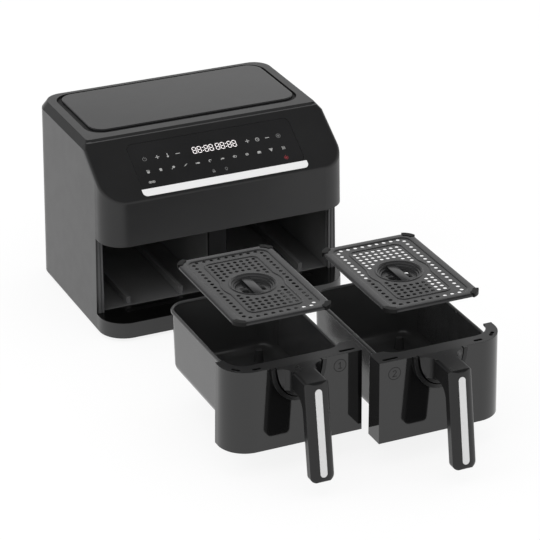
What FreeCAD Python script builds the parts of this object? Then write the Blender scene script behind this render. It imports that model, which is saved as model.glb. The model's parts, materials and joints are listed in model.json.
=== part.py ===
import FreeCAD
import Part
import math
import os

from FreeCAD import Vector

# Twin-drawer air fryer, in millimetres. X runs to the right, Y to the back, Z up from the counter.
# The drawers stand pulled out in front, and each crisper plate hovers above its basket.

# Housing, outside
housing_width = 390.0
housing_depth = 304.0
housing_top = 284.5
foot_height = 5.0
corner_radius = 40.0
draft = 0.016
shell_wall = 2.6
chamfer_width = 8.0
chamfer_height = 11.0
fascia_height = 64.8
head_height = 133.6
fascia_setback = 100.3
fascia_edge_round = 6.0
fascia_depth = 9.0
fascia_top_rim = 6.0
fascia_step = 2.6
lip_top = 29.4
seam_depth = 49.6
fit_gap = 0.3

# Control panel on the slope, measured along it from its foot
control_side_room = 65.5
control_low = 18.2
control_high = 97.0
control_corner = 10.0
control_sink = 0.4
control_thickness = 1.4
bar_overhang = 1.5
bar_low = 5.6
bar_corner = 7.0
bar_thickness = 1.6
display_half_width = 37.0
display_low = 58.0
display_high = 78.0
display_thickness = 6.0
board_side_room = 7.5
board_thickness = 1.6
board_drop = 9.0

# Top panel in its groove
top_side_room = 25.0
top_front_room = 16.7
top_back_room = 19.5
top_cut_radius = 28.0
top_groove = 5.0
tray_overlap = 4.0
tray_thickness = 2.5

# Base
base_floor = 3.0
base_wall = 3.0
lip_skin = 6.0
rib_thickness = 4.0
rib_end_margin = 20.0
foot_radius = 12.0
foot_taper = 2.0
foot_side_room = 45.0
foot_front = 22.0
foot_back_room = 32.0
base_slot_length = 60.0
base_slot_width = 4.0
base_slot_pitch = 11.0
base_slot_count = 6
seal_width = 9.0
seal_depth = 3.0
seal_side_room = 45.0

# Drawers
centre_gap = 2.4
drawer_gap = 1.1
slide_left = 440.7
slide_right = 487.7
drawer_lift = 8.3
wing_depth = 49.0
inner_wing_depth = 32.0
front_wall = 2.8
cover_thickness = 2.0
ledge_slot_length = 13.0
ledge_slot_long = 23.0
ledge_slot_width = 5.0
ledge_slot_inset = 9.5
ledge_slot_inner_margin = 19.0
ledge_slot_corner_margin = 4.0

# Baskets
basket_front = 22.0
basket_back_room = 48.5
basket_side_room = 14.7
basket_bottom = 42.0
basket_rim_drop = 10.3
basket_wall = 1.2
basket_draft = 0.026
basket_corner = 25.0
basket_bottom_round = 16.0
rim_overhang = 2.4
rim_height = 3.0
rim_round = 1.4
plate_bump_height = 18.0
plate_bump_radius = 7.0
plate_bump_inset = 40.0
plate_bump_taper = 2.0

# Handles
handle_offset_left = 3.1
handle_offset_right = 8.5
flange_half_width = 32.0
flange_depth = 44.5
flange_thickness = 4.0
flare_round = 15.0
recess_radius = 4.5
recess_depth = 2.5
recess_drop = 38.0
ring_gap = 2.2
ring_width = 5.5
ring_thickness = 2.6
grip_width = 34.0
grip_thickness = 20.0
grip_length = 137.0
grip_top_reach = 59.5
grip_bottom_reach = 82.0
grip_top_round = 5.5
grip_inner_round = 20.0
grip_end_round = 7.0
grip_root = 2.0
grip_edge_round = 4.5
neck_root_height = 32.0
neck_tip_height = 26.0
strip_width = 10.0
strip_thickness = 1.2
strip_proud = 0.2
strip_top_margin = 8.5
strip_bottom_margin = 8.0
strip_clearance = 0.15

# Crisper plates
plate_side_room = 11.2
plate_end_room = 10.25
plate_corner = 19.0
plate_edge_round = 4.5
plate_border = 12.0
plate_border_rise = 3.0
plate_border_round = 1.4
plate_sheet = 1.2
plate_rim = 6.0
plate_hover_rise = 63.1
plate_bead_side_inset = 30.0
plate_bead_end_inset = 25.0
plate_bead_corner = 12.0
plate_bead_bulge = 45.0
plate_bead_width = 2.6
plate_bead_height = 0.9
dish_radius = 30.0
dish_step = 2.6
dish_steps = 3
dish_ring_radius = 33.5
dish_bar_width = 13.0
dish_window_length = 17.0
dish_window_width = 10.0
hole_size = 5.4
hole_pitch = 9.2
hole_rows = 6
hole_columns = 8
hole_bead_gap = 7.4
hole_edge_gap = 9.5
hole_edge_pitch = 10.5
hole_dish_gap = 4.0
bumper_radius = 10.0
bumper_width = 7.0
bumper_height = 7.0
bumper_tuck = 0.5
bumper_skin = 1.2

# Hot chambers
liner_wall = 1.0
liner_gap = 1.2
liner_set_back = 6.5
liner_back_room = 28.0
liner_head = 39.1
shaft_hole_radius = 6.0
rail_width = 6.0
rail_spread = 84.0
rail_front_margin = 4.0
rail_back_margin = 14.0
jamb_groove = 1.6
divider_depth = 20.0

# Heating and air
heater_tube = 3.2
heater_drop = 29.0
heater_inset = 12.2
heater_mouth = 30.0
heater_bend = 8.0
heater_tail = 6.0
guard_thickness = 1.5
guard_drop = 37.0
guard_inset = 2.2
guard_bar = 2.4
guard_rings = 4
guard_spokes = 6
guard_post_radius = 2.0
fan_blade_height = 14.0
fan_drop = 22.0
fan_inset = 24.2
fan_disc = 1.5
fan_blade_count = 10
fan_blade_thickness = 1.4
fan_hub_radius = 10.0
shaft_radius = 4.0
shaft_tip = 2.0
cooling_radius = 36.0
cooling_rise = 5.0
cooling_blade_height = 9.0
cooling_blade_count = 7
motor_radius = 30.0
motor_rise = 22.0
motor_height = 36.0
motor_bore_depth = 12.0
motor_cap_radius = 13.0
motor_cap_height = 5.0
bracket_radius = 45.0
bracket_margin = 1.0
bracket_thickness = 2.0
bracket_leg = 5.0
bracket_leg_count = 3

# Electrics and back
power_board_half_width = 40.0
power_board_length = 66.0
power_board_back_room = 16.0
power_board_rise = 10.0
power_block_inset = 12.0
power_block_width = 24.0
power_block_length = 26.0
power_block_height = 22.0
pillar_radius = 3.0
pillar_inset = 7.0
grille_half_width = 70.0
grille_height = 66.0
grille_top_room = 22.5
grille_lip = 5.0
grille_slot_count = 8
grille_slot_height = 3.6
inlet_half_width = 16.0
inlet_low = 52.0
inlet_high = 76.0
inlet_proud = 3.0
inlet_depth = 14.0
inlet_flange = 4.0
inlet_bore = 4.5
sensor_width = 20.0
sensor_height = 9.0
sensor_level = 100.0

# Places that follow from the sizes above
fascia_foot = housing_top - fascia_height
opening_top = housing_top - head_height
control_half_width = housing_width / 2.0 - control_side_room
bar_half_width = control_half_width + bar_overhang
board_half_width = control_half_width - board_side_room
top_cut_half_width = housing_width / 2.0 - top_side_room
top_cut_front = fascia_setback + top_front_room
top_cut_back = housing_depth - top_back_room
foot_side = housing_width / 2.0 - foot_side_room
foot_back = housing_depth - foot_back_room
seal_half_length = housing_width / 2.0 - seal_side_room
grip_lean = (grip_bottom_reach - grip_top_reach) / grip_length
handle_reach = (
    grip_bottom_reach
    - grip_lean * grip_edge_round
    - grip_edge_round * (math.hypot(1.0, grip_lean) - 1.0)
)
front_y = (slide_right + handle_reach - housing_depth) / 2.0
back_y = front_y + housing_depth
seam_y = front_y + seam_depth
top_inner = housing_top - shell_wall
front_bottom = lip_top + drawer_gap
front_top = opening_top - drawer_gap
drawer_middle = (housing_width / 2.0 + centre_gap / 2.0) / 2.0
basket_half_width = drawer_middle - centre_gap / 2.0 - basket_side_room
basket_back = housing_depth - basket_back_room
basket_top = front_top - basket_rim_drop
basket_floor = basket_bottom + basket_wall
plate_seat = basket_floor + plate_bump_height + fit_gap + plate_sheet
plate_hover = opening_top + plate_hover_rise
plate_travel = plate_hover - drawer_lift - plate_seat
plate_middle = (basket_front + basket_back) / 2.0
liner_front = seam_depth + liner_set_back
liner_back = housing_depth - liner_back_room
liner_top = opening_top + liner_head
liner_half = basket_half_width + liner_gap + liner_wall
liner_floor = lip_top + liner_wall
fan_y = front_y + (liner_front + liner_back) / 2.0
fan_x = drawer_middle
heater_height = liner_top - heater_drop
heater_radius = basket_half_width - heater_inset
guard_height = liner_top - guard_drop
guard_radius = basket_half_width - guard_inset
fan_radius = basket_half_width - fan_inset
fan_low = liner_top - fan_drop
shaft_low = fan_low - shaft_tip
cooling_low = liner_top + cooling_rise
motor_low = liner_top + motor_rise
plate_width = 2.0 * (basket_half_width - plate_side_room)
plate_length = basket_back - basket_front - 2.0 * plate_end_room
rib_places = (
    liner_front + rib_end_margin,
    (liner_front + liner_back) / 2.0,
    liner_back - rib_end_margin,
)
grille_high = housing_top - grille_top_room
grille_low = grille_high - grille_height
slope_foot_y = front_y + draft * (fascia_foot - foot_height)
slope_run = front_y + fascia_setback - slope_foot_y
slope_rise = housing_top - fascia_foot
slope_angle = math.degrees(math.atan2(slope_rise, slope_run))
slope_length = math.hypot(slope_run, slope_rise)
far = 4.0 * housing_width


def box(x0, x1, y0, y1, z0, z1):
    return Part.makeBox(x1 - x0, y1 - y0, z1 - z0, Vector(x0, y0, z0))


def post(radius, height, x, y, z):
    return Part.makeCylinder(radius, height, Vector(x, y, z))


def rounded_wire(x0, x1, y0, y1, radius, z):
    """Rounded rectangle at height z, made of four lines and four arcs."""
    half = radius * (1.0 - math.sqrt(0.5))
    corners = [
        (Vector(x1 - radius, y0, z), Vector(x1 - half, y0 + half, z), Vector(x1, y0 + radius, z)),
        (Vector(x1, y1 - radius, z), Vector(x1 - half, y1 - half, z), Vector(x1 - radius, y1, z)),
        (Vector(x0 + radius, y1, z), Vector(x0 + half, y1 - half, z), Vector(x0, y1 - radius, z)),
        (Vector(x0, y0 + radius, z), Vector(x0 + half, y0 + half, z), Vector(x0 + radius, y0, z)),
    ]
    edges = []
    for index, (start, middle, end) in enumerate(corners):
        edges.append(Part.Arc(start, middle, end).toShape())
        edges.append(Part.LineSegment(end, corners[(index + 1) % 4][0]).toShape())
    return Part.Wire(edges)


def rounded_prism(x0, x1, y0, y1, radius, z0, z1):
    return Part.Face(rounded_wire(x0, x1, y0, y1, radius, z0)).extrude(Vector(0, 0, z1 - z0))


def side_prism(points, x0, x1):
    """Prism whose (y, z) outline is swept from x0 to x1."""
    corners = [Vector(x0, y, z) for y, z in points]
    outline = Part.makePolygon(corners + corners[:1])
    return Part.Face(outline).extrude(Vector(x1 - x0, 0, 0))


def on_slope(shape):
    """Stand a shape drawn with Y up the slope and Z out of it on the sloping fascia."""
    shape.rotate(Vector(0, 0, 0), Vector(1, 0, 0), slope_angle)
    shape.translate(Vector(0, slope_foot_y, fascia_foot))
    return shape


def mirrored(shape):
    return shape.mirror(Vector(0, 0, 0), Vector(1, 0, 0))


def fused(shapes):
    result = shapes[0]
    for shape in shapes[1:]:
        result = result.fuse(shape)
    return result.removeSplitter()


def edges_at_height(shape, z):
    return [edge for edge in shape.Edges if all(abs(vertex.Point.z - z) < 0.01 for vertex in edge.Vertexes)]


def housing_section(z, inset, extra=0.0):
    """Outline of the drafted housing at height z, set in by a wall and by the top chamfer."""
    pull = draft * (z - foot_height) + inset + extra
    half = housing_width / 2.0 - pull
    return rounded_wire(-half, half, front_y + pull, back_y - pull, corner_radius - pull, z)


def slope_cutter(inset):
    """Everything above the sloping fascia, lowered by a wall."""
    cutter = Part.makeBox(2 * far, 2 * far, far, Vector(-far, -far, -inset))
    return on_slope(cutter)


def housing_form(inset=0.0, low=foot_height):
    """The closed outer form of the housing, or the same form set in by a wall."""
    shoulder = housing_top - chamfer_height - inset / 2.0
    form = Part.makeLoft(
        [
            housing_section(low, inset),
            housing_section(shoulder, inset),
            housing_section(housing_top - inset, inset, chamfer_width - inset / 2.0),
        ],
        True,
        True,
    )
    return form.cut(slope_cutter(inset))


def slope_point(along):
    """Y and Z of a point of the slope, measured along it from its foot."""
    angle = math.radians(slope_angle)
    return slope_foot_y + along * math.cos(angle), fascia_foot + along * math.sin(angle)


def rounded_fascia_edges(form):
    """Round the edge that runs round the foot and both flanks of the slope."""
    normal = Vector(0, -math.sin(math.radians(slope_angle)), math.cos(math.radians(slope_angle)))
    foot = Vector(0, slope_foot_y, fascia_foot)
    edges = []
    for edge in form.Edges:
        ends = [vertex.Point for vertex in edge.Vertexes]
        on_plane = all(abs((point - foot).dot(normal)) < 0.01 for point in ends)
        at_top = all(point.z > housing_top - 0.01 for point in ends)
        if on_plane and not at_top:
            edges.append(edge)
    return form.makeFillet(fascia_edge_round, edges)


def stepped_top_edge(form):
    """Set the top of the slope back, so that the front fascia ends in a narrow level ledge."""
    ledge_y, ledge_z = slope_point(slope_length - fascia_top_rim)
    top_y, top_z = slope_point(slope_length)
    inner_y = ledge_y + fascia_step
    beyond = 1.0 / (top_z - ledge_z)
    points = [
        (ledge_y - fascia_step, ledge_z),
        (inner_y, ledge_z),
        (top_y + (top_y - inner_y) * beyond, top_z + 1.0),
        (ledge_y - fascia_step, top_z + 1.0),
    ]
    half = housing_width / 2.0 - draft * housing_top - chamfer_width - fascia_edge_round
    return form.cut(side_prism(points, -half, half))


def front_region():
    """Space in front of the parting line between the outer shell and the front fascia."""
    angle = math.radians(slope_angle)
    into = (math.sin(angle), -math.cos(angle))
    rim_y, rim_z = slope_point(slope_length - fascia_top_rim + fascia_step * math.cos(angle))
    deep_y = rim_y + into[0] * fascia_depth
    deep_z = rim_z + into[1] * fascia_depth
    seam_z = deep_z - (deep_y - seam_y) * math.tan(angle)
    out_y = rim_y - into[0] * far
    out_z = rim_z - into[1] * far
    points = [
        (seam_y, opening_top),
        (seam_y, seam_z),
        (deep_y, deep_z),
        (rim_y, rim_z),
        (out_y, out_z),
        (front_y - far, out_z),
        (front_y - far, opening_top),
    ]
    return side_prism(points, -far, far)


def make_outer_shell(outer, inner):
    shell = outer.cut(inner).cut(front_region())
    below_opening = box(-far, far, front_y - far, seam_y, 0, opening_top)
    shell = shell.cut(below_opening)
    top_cut = rounded_prism(
        -top_cut_half_width,
        top_cut_half_width,
        front_y + top_cut_front,
        front_y + top_cut_back,
        top_cut_radius,
        top_inner - 1.0,
        housing_top + 1.0,
    )
    shell = shell.cut(top_cut)
    grille_hole = box(
        -grille_half_width,
        grille_half_width,
        back_y - corner_radius,
        back_y + 1.0,
        grille_low,
        grille_high,
    )
    inlet_hole = box(
        -inlet_half_width,
        inlet_half_width,
        back_y - corner_radius,
        back_y + 1.0,
        inlet_low,
        inlet_high,
    )
    return shell.cut(grille_hole).cut(inlet_hole)


def slope_block(half_width, low, high, radius, z0, z1):
    return on_slope(rounded_prism(-half_width, half_width, low, high, radius, z0, z1))


def make_trim_bar(clearance=0.0):
    """Bright bar below the control glass, with rounded lower corners only."""
    low = bar_low - clearance
    high = control_low - fit_gap + clearance
    half = bar_half_width + clearance
    bar = rounded_prism(-half, half, low, high + bar_corner + 1.0, bar_corner, -bar_thickness, 0.0)
    bar = bar.cut(box(-far, far, high, far, -far, far))
    return on_slope(bar)


def make_front_fascia(outer, inner):
    fascia = outer.cut(inner).common(front_region())
    floor = outer.common(
        box(-far, far, front_y - far, seam_y, opening_top, opening_top + shell_wall)
    )
    fascia = fascia.fuse(floor).removeSplitter()
    glass_pocket = slope_block(
        control_half_width + fit_gap,
        control_low,
        control_high + fit_gap,
        control_corner,
        -control_thickness - control_sink,
        1.0,
    )
    display_window = slope_block(
        display_half_width + fit_gap, display_low, display_high, 2.0, -fascia_depth, 1.0
    )
    return fascia.cut(glass_pocket).cut(make_trim_bar(fit_gap)).cut(display_window)


def make_control_glass():
    return slope_block(
        control_half_width,
        control_low + fit_gap,
        control_high,
        control_corner,
        -control_thickness - control_sink,
        -control_sink,
    )


def make_display_module():
    top = -control_thickness - control_sink
    return slope_block(
        display_half_width, display_low + fit_gap, display_high - fit_gap, 2.0,
        top - display_thickness, top,
    )


def make_control_board():
    """Board behind the control glass, on four pillars from the back of the fascia."""
    top = -board_drop
    low = bar_low + board_drop
    high = control_high - board_drop
    board = box(-board_half_width, board_half_width, low, high, top - board_thickness, top)
    pillars = []
    across = board_half_width - pillar_inset
    for x in (-across, across):
        for y in (low + pillar_inset, high - pillar_inset):
            pillars.append(post(pillar_radius, board_drop - shell_wall, x, y, top))
    return on_slope(fused([board] + pillars))


def make_top_tray():
    tray = rounded_prism(
        -top_cut_half_width - tray_overlap,
        top_cut_half_width + tray_overlap,
        front_y + top_cut_front - tray_overlap,
        front_y + top_cut_back + tray_overlap,
        top_cut_radius,
        top_inner - tray_thickness,
        top_inner,
    )
    return tray


def make_top_panel():
    return rounded_prism(
        -top_cut_half_width + top_groove,
        top_cut_half_width - top_groove,
        front_y + top_cut_front + top_groove,
        front_y + top_cut_back - top_groove,
        top_cut_radius - top_groove,
        top_inner,
        housing_top,
    )


def make_base_pan(outer):
    """Plinth: full width in front of the seam, set inside the shell behind it."""
    inside = housing_form(shell_wall + fit_gap)
    below = box(-far, far, -far, far, 0, lip_top)
    front_part = outer.common(below).common(box(-far, far, -far, seam_y, 0, lip_top))
    back_part = inside.common(below).common(box(-far, far, seam_y, far, 0, lip_top))
    pan = front_part.fuse(back_part).removeSplitter()
    hollow = housing_form(shell_wall + fit_gap + base_wall)
    sill_back = seam_y + liner_set_back
    well = hollow.common(box(-far, far, sill_back, far, foot_height + base_floor, far))
    sill_well = hollow.common(
        box(-far, far, -far, sill_back, foot_height + base_floor, lip_top - lip_skin)
    )
    pan = pan.cut(well).cut(sill_well)
    ribs = []
    for place in rib_places:
        rib = box(
            -housing_width / 2.0,
            housing_width / 2.0,
            front_y + place - rib_thickness / 2.0,
            front_y + place + rib_thickness / 2.0,
            foot_height + base_floor,
            lip_top,
        )
        ribs.append(rib.common(inside))
    pan = fused([pan] + ribs)
    slots = []
    for side in (-1, 1):
        for index in range(base_slot_count):
            x = side * fan_x + (index - (base_slot_count - 1) / 2.0) * base_slot_pitch
            y = front_y + (rib_places[0] + rib_places[1]) / 2.0
            slots.append(
                box(
                    x - base_slot_width / 2.0,
                    x + base_slot_width / 2.0,
                    y - base_slot_length / 2.0,
                    y + base_slot_length / 2.0,
                    0,
                    foot_height + base_floor + 1.0,
                )
            )
    return pan.cut(Part.makeCompound(slots)).cut(make_sill_seal())


def make_sill_seal():
    y = seam_y - seal_width - base_wall
    return box(-seal_half_length, seal_half_length, y, y + seal_width, lip_top - seal_depth, lip_top)


def make_feet():
    feet = []
    for x in (-foot_side, foot_side):
        for y in (foot_front, foot_back):
            feet.append(
                Part.makeCone(
                    foot_radius - foot_taper, foot_radius, foot_height, Vector(x, front_y + y, 0)
                )
            )
    return Part.makeCompound(feet)


def make_jamb_trim():
    """Left upright beside the opening, with a groove down its face."""
    outer = housing_form(shell_wall + fit_gap)
    edge = -drawer_middle - liner_half
    slab = box(-far, edge, seam_y, seam_y + liner_set_back, lip_top, opening_top)
    trim = outer.common(slab)
    groove_x = (edge - housing_width / 2.0 + shell_wall + draft * lip_top) / 2.0
    groove = box(groove_x, groove_x + jamb_groove, seam_y - 1.0, seam_y + jamb_groove, 0, far)
    return trim.cut(groove)


def make_header_trim():
    outer = housing_form(shell_wall + fit_gap)
    slab = box(-far, far, seam_y, seam_y + liner_set_back, opening_top, opening_top + liner_set_back)
    return outer.common(slab)


def make_centre_divider():
    half = drawer_middle - liner_half
    block = box(-half, half, seam_y, seam_y + liner_set_back, lip_top, opening_top)
    web = box(
        -half + fit_gap,
        half - fit_gap,
        seam_y + liner_set_back,
        seam_y + divider_depth,
        lip_top,
        opening_top,
    )
    return block.fuse(web).removeSplitter()


def make_liner():
    """Left hot chamber: flat steel panels seamed to a box, open at the front below its header."""
    x0 = -drawer_middle - liner_half
    x1 = -drawer_middle + liner_half
    y0 = front_y + liner_front
    y1 = front_y + liner_back
    inner = (x0 + liner_wall, x1 - liner_wall)
    top = box(*inner, y0 + liner_wall, y1 - liner_wall, liner_top - liner_wall, liner_top)
    top = top.cut(post(shaft_hole_radius, 3.0 * liner_wall, -fan_x, fan_y, liner_top - 2.0 * liner_wall))
    for turn in (-1, 1):
        tail = heater_end(turn)[2]
        top = top.cut(post(heater_tube + fit_gap, liner_top, tail.x, tail.y, tail.z))
    panels = [
        top,
        box(x0, x0 + liner_wall, y0, y1, lip_top, liner_top),
        box(x1 - liner_wall, x1, y0, y1, lip_top, liner_top),
        box(*inner, y1 - liner_wall, y1, lip_top, liner_top),
        box(*inner, y0, y1 - liner_wall, lip_top, liner_floor),
        box(*inner, y0, y0 + liner_wall, opening_top, liner_top),
    ]
    return Part.makeCompound(panels)


def heater_point(angle):
    return Vector(
        -fan_x + heater_radius * math.cos(angle),
        fan_y + heater_radius * math.sin(angle),
        heater_height,
    )


def heater_end(turn):
    """Ring end, middle and upper end of the elbow there; turn is -1 or 1 for the two ends."""
    half = math.radians(heater_mouth) / 2.0
    angle = -math.pi / 2.0 - turn * half
    end = heater_point(angle)
    out = Vector(-math.sin(angle), math.cos(angle), 0) * (turn * heater_bend)
    lift = Vector(0, 0, heater_bend)
    quarter = math.sqrt(0.5)
    return end, end + out * quarter + lift * (1.0 - quarter), end + out + lift


def make_heater():
    """One tube: an open ring below the fan whose two ends turn up through the chamber roof."""
    first_end, first_middle, first_top = heater_end(-1)
    last_end, last_middle, last_top = heater_end(1)
    rise = Vector(0, 0, liner_top + heater_tail - first_top.z)
    path = Part.Wire(
        [
            Part.LineSegment(first_top + rise, first_top).toShape(),
            Part.Arc(first_top, first_middle, first_end).toShape(),
            Part.Arc(first_end, heater_point(math.pi / 2.0), last_end).toShape(),
            Part.Arc(last_end, last_middle, last_top).toShape(),
            Part.LineSegment(last_top, last_top + rise).toShape(),
        ]
    )
    profile = Part.Wire(Part.makeCircle(heater_tube, first_top + rise))
    return path.makePipeShell([profile], True, False)


def make_heater_guard():
    """Stamped guard below the heater: rings and spokes on four posts from the chamber roof."""
    parts = []
    step = (guard_radius - fan_hub_radius) / guard_rings
    for index in range(guard_rings):
        outer = guard_radius - index * step
        ring = post(outer, guard_thickness, 0, 0, 0)
        parts.append(ring.cut(post(outer - guard_bar, guard_thickness, 0, 0, 0)))
    half = guard_bar / 2.0
    inner = guard_radius - (guard_rings - 1) * step - half
    for index in range(guard_spokes):
        spoke = box(inner, guard_radius - half, -half, half, 0, guard_thickness)
        spoke.rotate(Vector(0, 0, 0), Vector(0, 0, 1), 360.0 * (index + 0.5) / guard_spokes)
        parts.append(spoke)
    reach = guard_radius - guard_bar - guard_post_radius / 2.0
    height = liner_top - liner_wall - guard_height
    for index in range(4):
        angle = math.radians(45.0 + 90.0 * index)
        parts.append(
            post(guard_post_radius, height, reach * math.cos(angle), reach * math.sin(angle), 0)
        )
    guard = fused(parts)
    guard.translate(Vector(-fan_x, fan_y, guard_height))
    return guard


def make_motor():
    motor = post(motor_radius, motor_height, -fan_x, fan_y, motor_low)
    cap = post(motor_cap_radius, motor_cap_height, -fan_x, fan_y, motor_low + motor_height)
    bore = post(shaft_radius + fit_gap, motor_bore_depth + fit_gap, -fan_x, fan_y, motor_low)
    return motor.fuse(cap).removeSplitter().cut(bore)


def make_motor_bracket():
    """Bridge over the cooling fan: a ring under the motor on legs from the chamber roof."""
    plate = post(bracket_radius, bracket_thickness, -fan_x, fan_y, motor_low - bracket_thickness)
    plate = plate.cut(
        post(motor_cap_radius, 2.0 * bracket_thickness, -fan_x, fan_y, motor_low - bracket_thickness)
    )
    legs = []
    for index in range(bracket_leg_count):
        angle = math.radians(90.0 + 360.0 * index / bracket_leg_count)
        reach = bracket_radius - bracket_leg / 2.0 - bracket_margin
        x = -fan_x + reach * math.cos(angle)
        y = fan_y + reach * math.sin(angle)
        height = motor_low - bracket_thickness - liner_top
        legs.append(post(bracket_leg / 2.0, height, x, y, liner_top))
    return fused([plate] + legs)


def make_fan_shaft():
    return post(shaft_radius, motor_low + motor_bore_depth - shaft_low, -fan_x, fan_y, shaft_low)


def make_rotor(radius, low, blade_height, count, disc_height):
    """Backplate with radial blades round a hub that sits on the shaft."""
    parts = [post(fan_hub_radius, blade_height, -fan_x, fan_y, low)]
    parts.append(post(radius, disc_height, -fan_x, fan_y, low + blade_height - disc_height))
    for index in range(count):
        blade = box(
            fan_hub_radius - 1.0,
            radius - 1.0,
            -fan_blade_thickness / 2.0,
            fan_blade_thickness / 2.0,
            0,
            blade_height,
        )
        blade.rotate(Vector(0, 0, 0), Vector(0, 0, 1), 360.0 * index / count)
        blade.translate(Vector(-fan_x, fan_y, low))
        parts.append(blade)
    rotor = fused(parts)
    return rotor.cut(post(shaft_radius, blade_height, -fan_x, fan_y, low))


def make_power_board():
    """Board over the chambers at the back, with a choke and a capacitor block, on four pillars."""
    low = liner_top + power_board_rise
    back = back_y - power_board_back_room
    front = back - power_board_length
    half = power_board_half_width
    parts = [box(-half, half, front, back, low, low + board_thickness)]
    pillar_back = front_y + liner_back - pillar_inset
    for x in (pillar_inset - half, half - pillar_inset):
        for y in (front + pillar_inset, pillar_back):
            parts.append(post(pillar_radius, power_board_rise, x, y, liner_top))
    top = low + board_thickness
    middle = (front + back) / 2.0
    half_block = power_block_length / 2.0
    left = power_block_inset - half
    blocks = ((left, power_block_height), (power_block_inset, 0.7 * power_block_height))
    for edge, height in blocks:
        parts.append(
            box(edge, edge + power_block_width, middle - half_block, middle + half_block, top, top + height)
        )
    return fused(parts)


def back_face(z, inset=0.0):
    return back_y - draft * (z - foot_height) - inset


def make_rear_grille():
    """Slotted outlet let into the back wall, with a lip behind it."""
    outer = housing_form(0.0)
    hole = housing_form(shell_wall)
    panel = outer.cut(hole).common(
        box(
            -grille_half_width + fit_gap,
            grille_half_width - fit_gap,
            fan_y,
            far,
            grille_low + fit_gap,
            grille_high - fit_gap,
        )
    )
    slots = []
    pitch = (grille_high - grille_low - 2.0 * grille_lip) / grille_slot_count
    half = grille_slot_height / 2.0
    inner = grille_lip / 2.0
    outer = grille_half_width - grille_lip
    for index in range(grille_slot_count):
        z = grille_low + grille_lip + pitch * (index + 0.5)
        slots.append(box(-outer, -inner, seam_y, far, z - half, z + half))
        slots.append(box(inner, outer, seam_y, far, z - half, z + half))
    return panel.cut(Part.makeCompound(slots))


def make_cord_inlet():
    """Gland where the lead enters: a rounded block let into the back wall, with a round mouth."""
    low = inlet_low + fit_gap
    high = inlet_high - fit_gap
    half = inlet_half_width - fit_gap
    y1 = back_face(high, -inlet_proud)
    y0 = y1 - inlet_depth
    block = box(-half, half, y0, y1, low, high)
    seat = back_face(high + inlet_flange, shell_wall + fit_gap)
    flange = box(
        -half - inlet_flange, half + inlet_flange, y0, seat, low - inlet_flange, high + inlet_flange
    )
    middle = (low + high) / 2.0
    mouth = Part.makeCylinder(inlet_bore, far, Vector(0, y0 + inlet_flange, middle), Vector(0, 1, 0))
    flare = Part.makeCone(
        inlet_bore,
        2.0 * inlet_bore,
        inlet_bore,
        Vector(0, y1 - inlet_bore, middle),
        Vector(0, 1, 0),
    )
    return block.fuse(flange).removeSplitter().cut(mouth).cut(flare)


def make_drawer_sensors():
    sensors = []
    half = sensor_width / 2.0
    y = front_y + liner_back
    for x in (-drawer_middle, drawer_middle):
        sensors.append(box(x - half, x + half, y, y + sensor_height, sensor_level, sensor_level + half))
    return Part.makeCompound(sensors)


def make_runner_rails():
    """Two low rails on the chamber floor that carry the basket."""
    rails = []
    for side in (-1, 1):
        x = -drawer_middle + side * rail_spread / 2.0
        rails.append(
            box(
                x - rail_width / 2.0,
                x + rail_width / 2.0,
                front_y + liner_front + rail_front_margin,
                front_y + liner_back - rail_back_margin,
                liner_floor,
                basket_bottom - fit_gap,
            )
        )
    return Part.makeCompound(rails)


def basket_section(z, inset):
    pull = basket_draft * (basket_top - z) + inset
    return rounded_wire(
        -drawer_middle - basket_half_width + pull,
        -drawer_middle + basket_half_width - pull,
        front_y + basket_front + pull,
        front_y + basket_back - pull,
        basket_corner - pull + rim_overhang,
        z,
    )


def basket_body(inset, low, bottom_round):
    """Drafted tub with a rounded bottom edge."""
    tub = Part.makeLoft([basket_section(low, inset), basket_section(basket_top, inset)], True, True)
    return tub.makeFillet(bottom_round, edges_at_height(tub, low))


def make_basket():
    """Left basket: a drawn tub with a rolled rim and four pressed bumps that carry the plate."""
    outer = basket_body(rim_overhang, basket_bottom, basket_bottom_round)
    inner = basket_body(rim_overhang + basket_wall, basket_floor, basket_bottom_round - basket_wall)
    basket = outer.cut(inner)
    down = Vector(0, 0, -rim_height)
    rim = Part.Face(basket_section(basket_top, 0.0)).extrude(down)
    rim = rim.makeFillet(rim_round, edges_at_height(rim, basket_top))
    hole = Part.Face(basket_section(basket_top, rim_overhang + basket_wall / 2.0)).extrude(down)
    basket = basket.fuse(rim.cut(hole)).removeSplitter()
    bumps = []
    for sx in (-1, 1):
        for sy in (-1, 1):
            x = -drawer_middle + sx * (basket_half_width - plate_bump_inset)
            y = front_y + plate_middle + sy * ((basket_back - basket_front) / 2.0 - plate_bump_inset)
            bumps.append(
                Part.makeCone(
                    plate_bump_radius,
                    plate_bump_radius - plate_bump_taper,
                    plate_bump_height + basket_wall,
                    Vector(x, y, basket_bottom),
                )
            )
    return fused([basket] + bumps)


def front_block(inset, z_inset):
    """Left drawer front as a solid that is flush with the housing when the drawer is shut."""
    form = housing_form(inset)
    region = box(
        -far,
        -centre_gap / 2.0 - inset,
        front_y - far,
        front_y + wing_depth + (1.0 if inset else 0.0),
        front_bottom + z_inset,
        front_top - z_inset,
    )
    return form.common(region)


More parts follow.
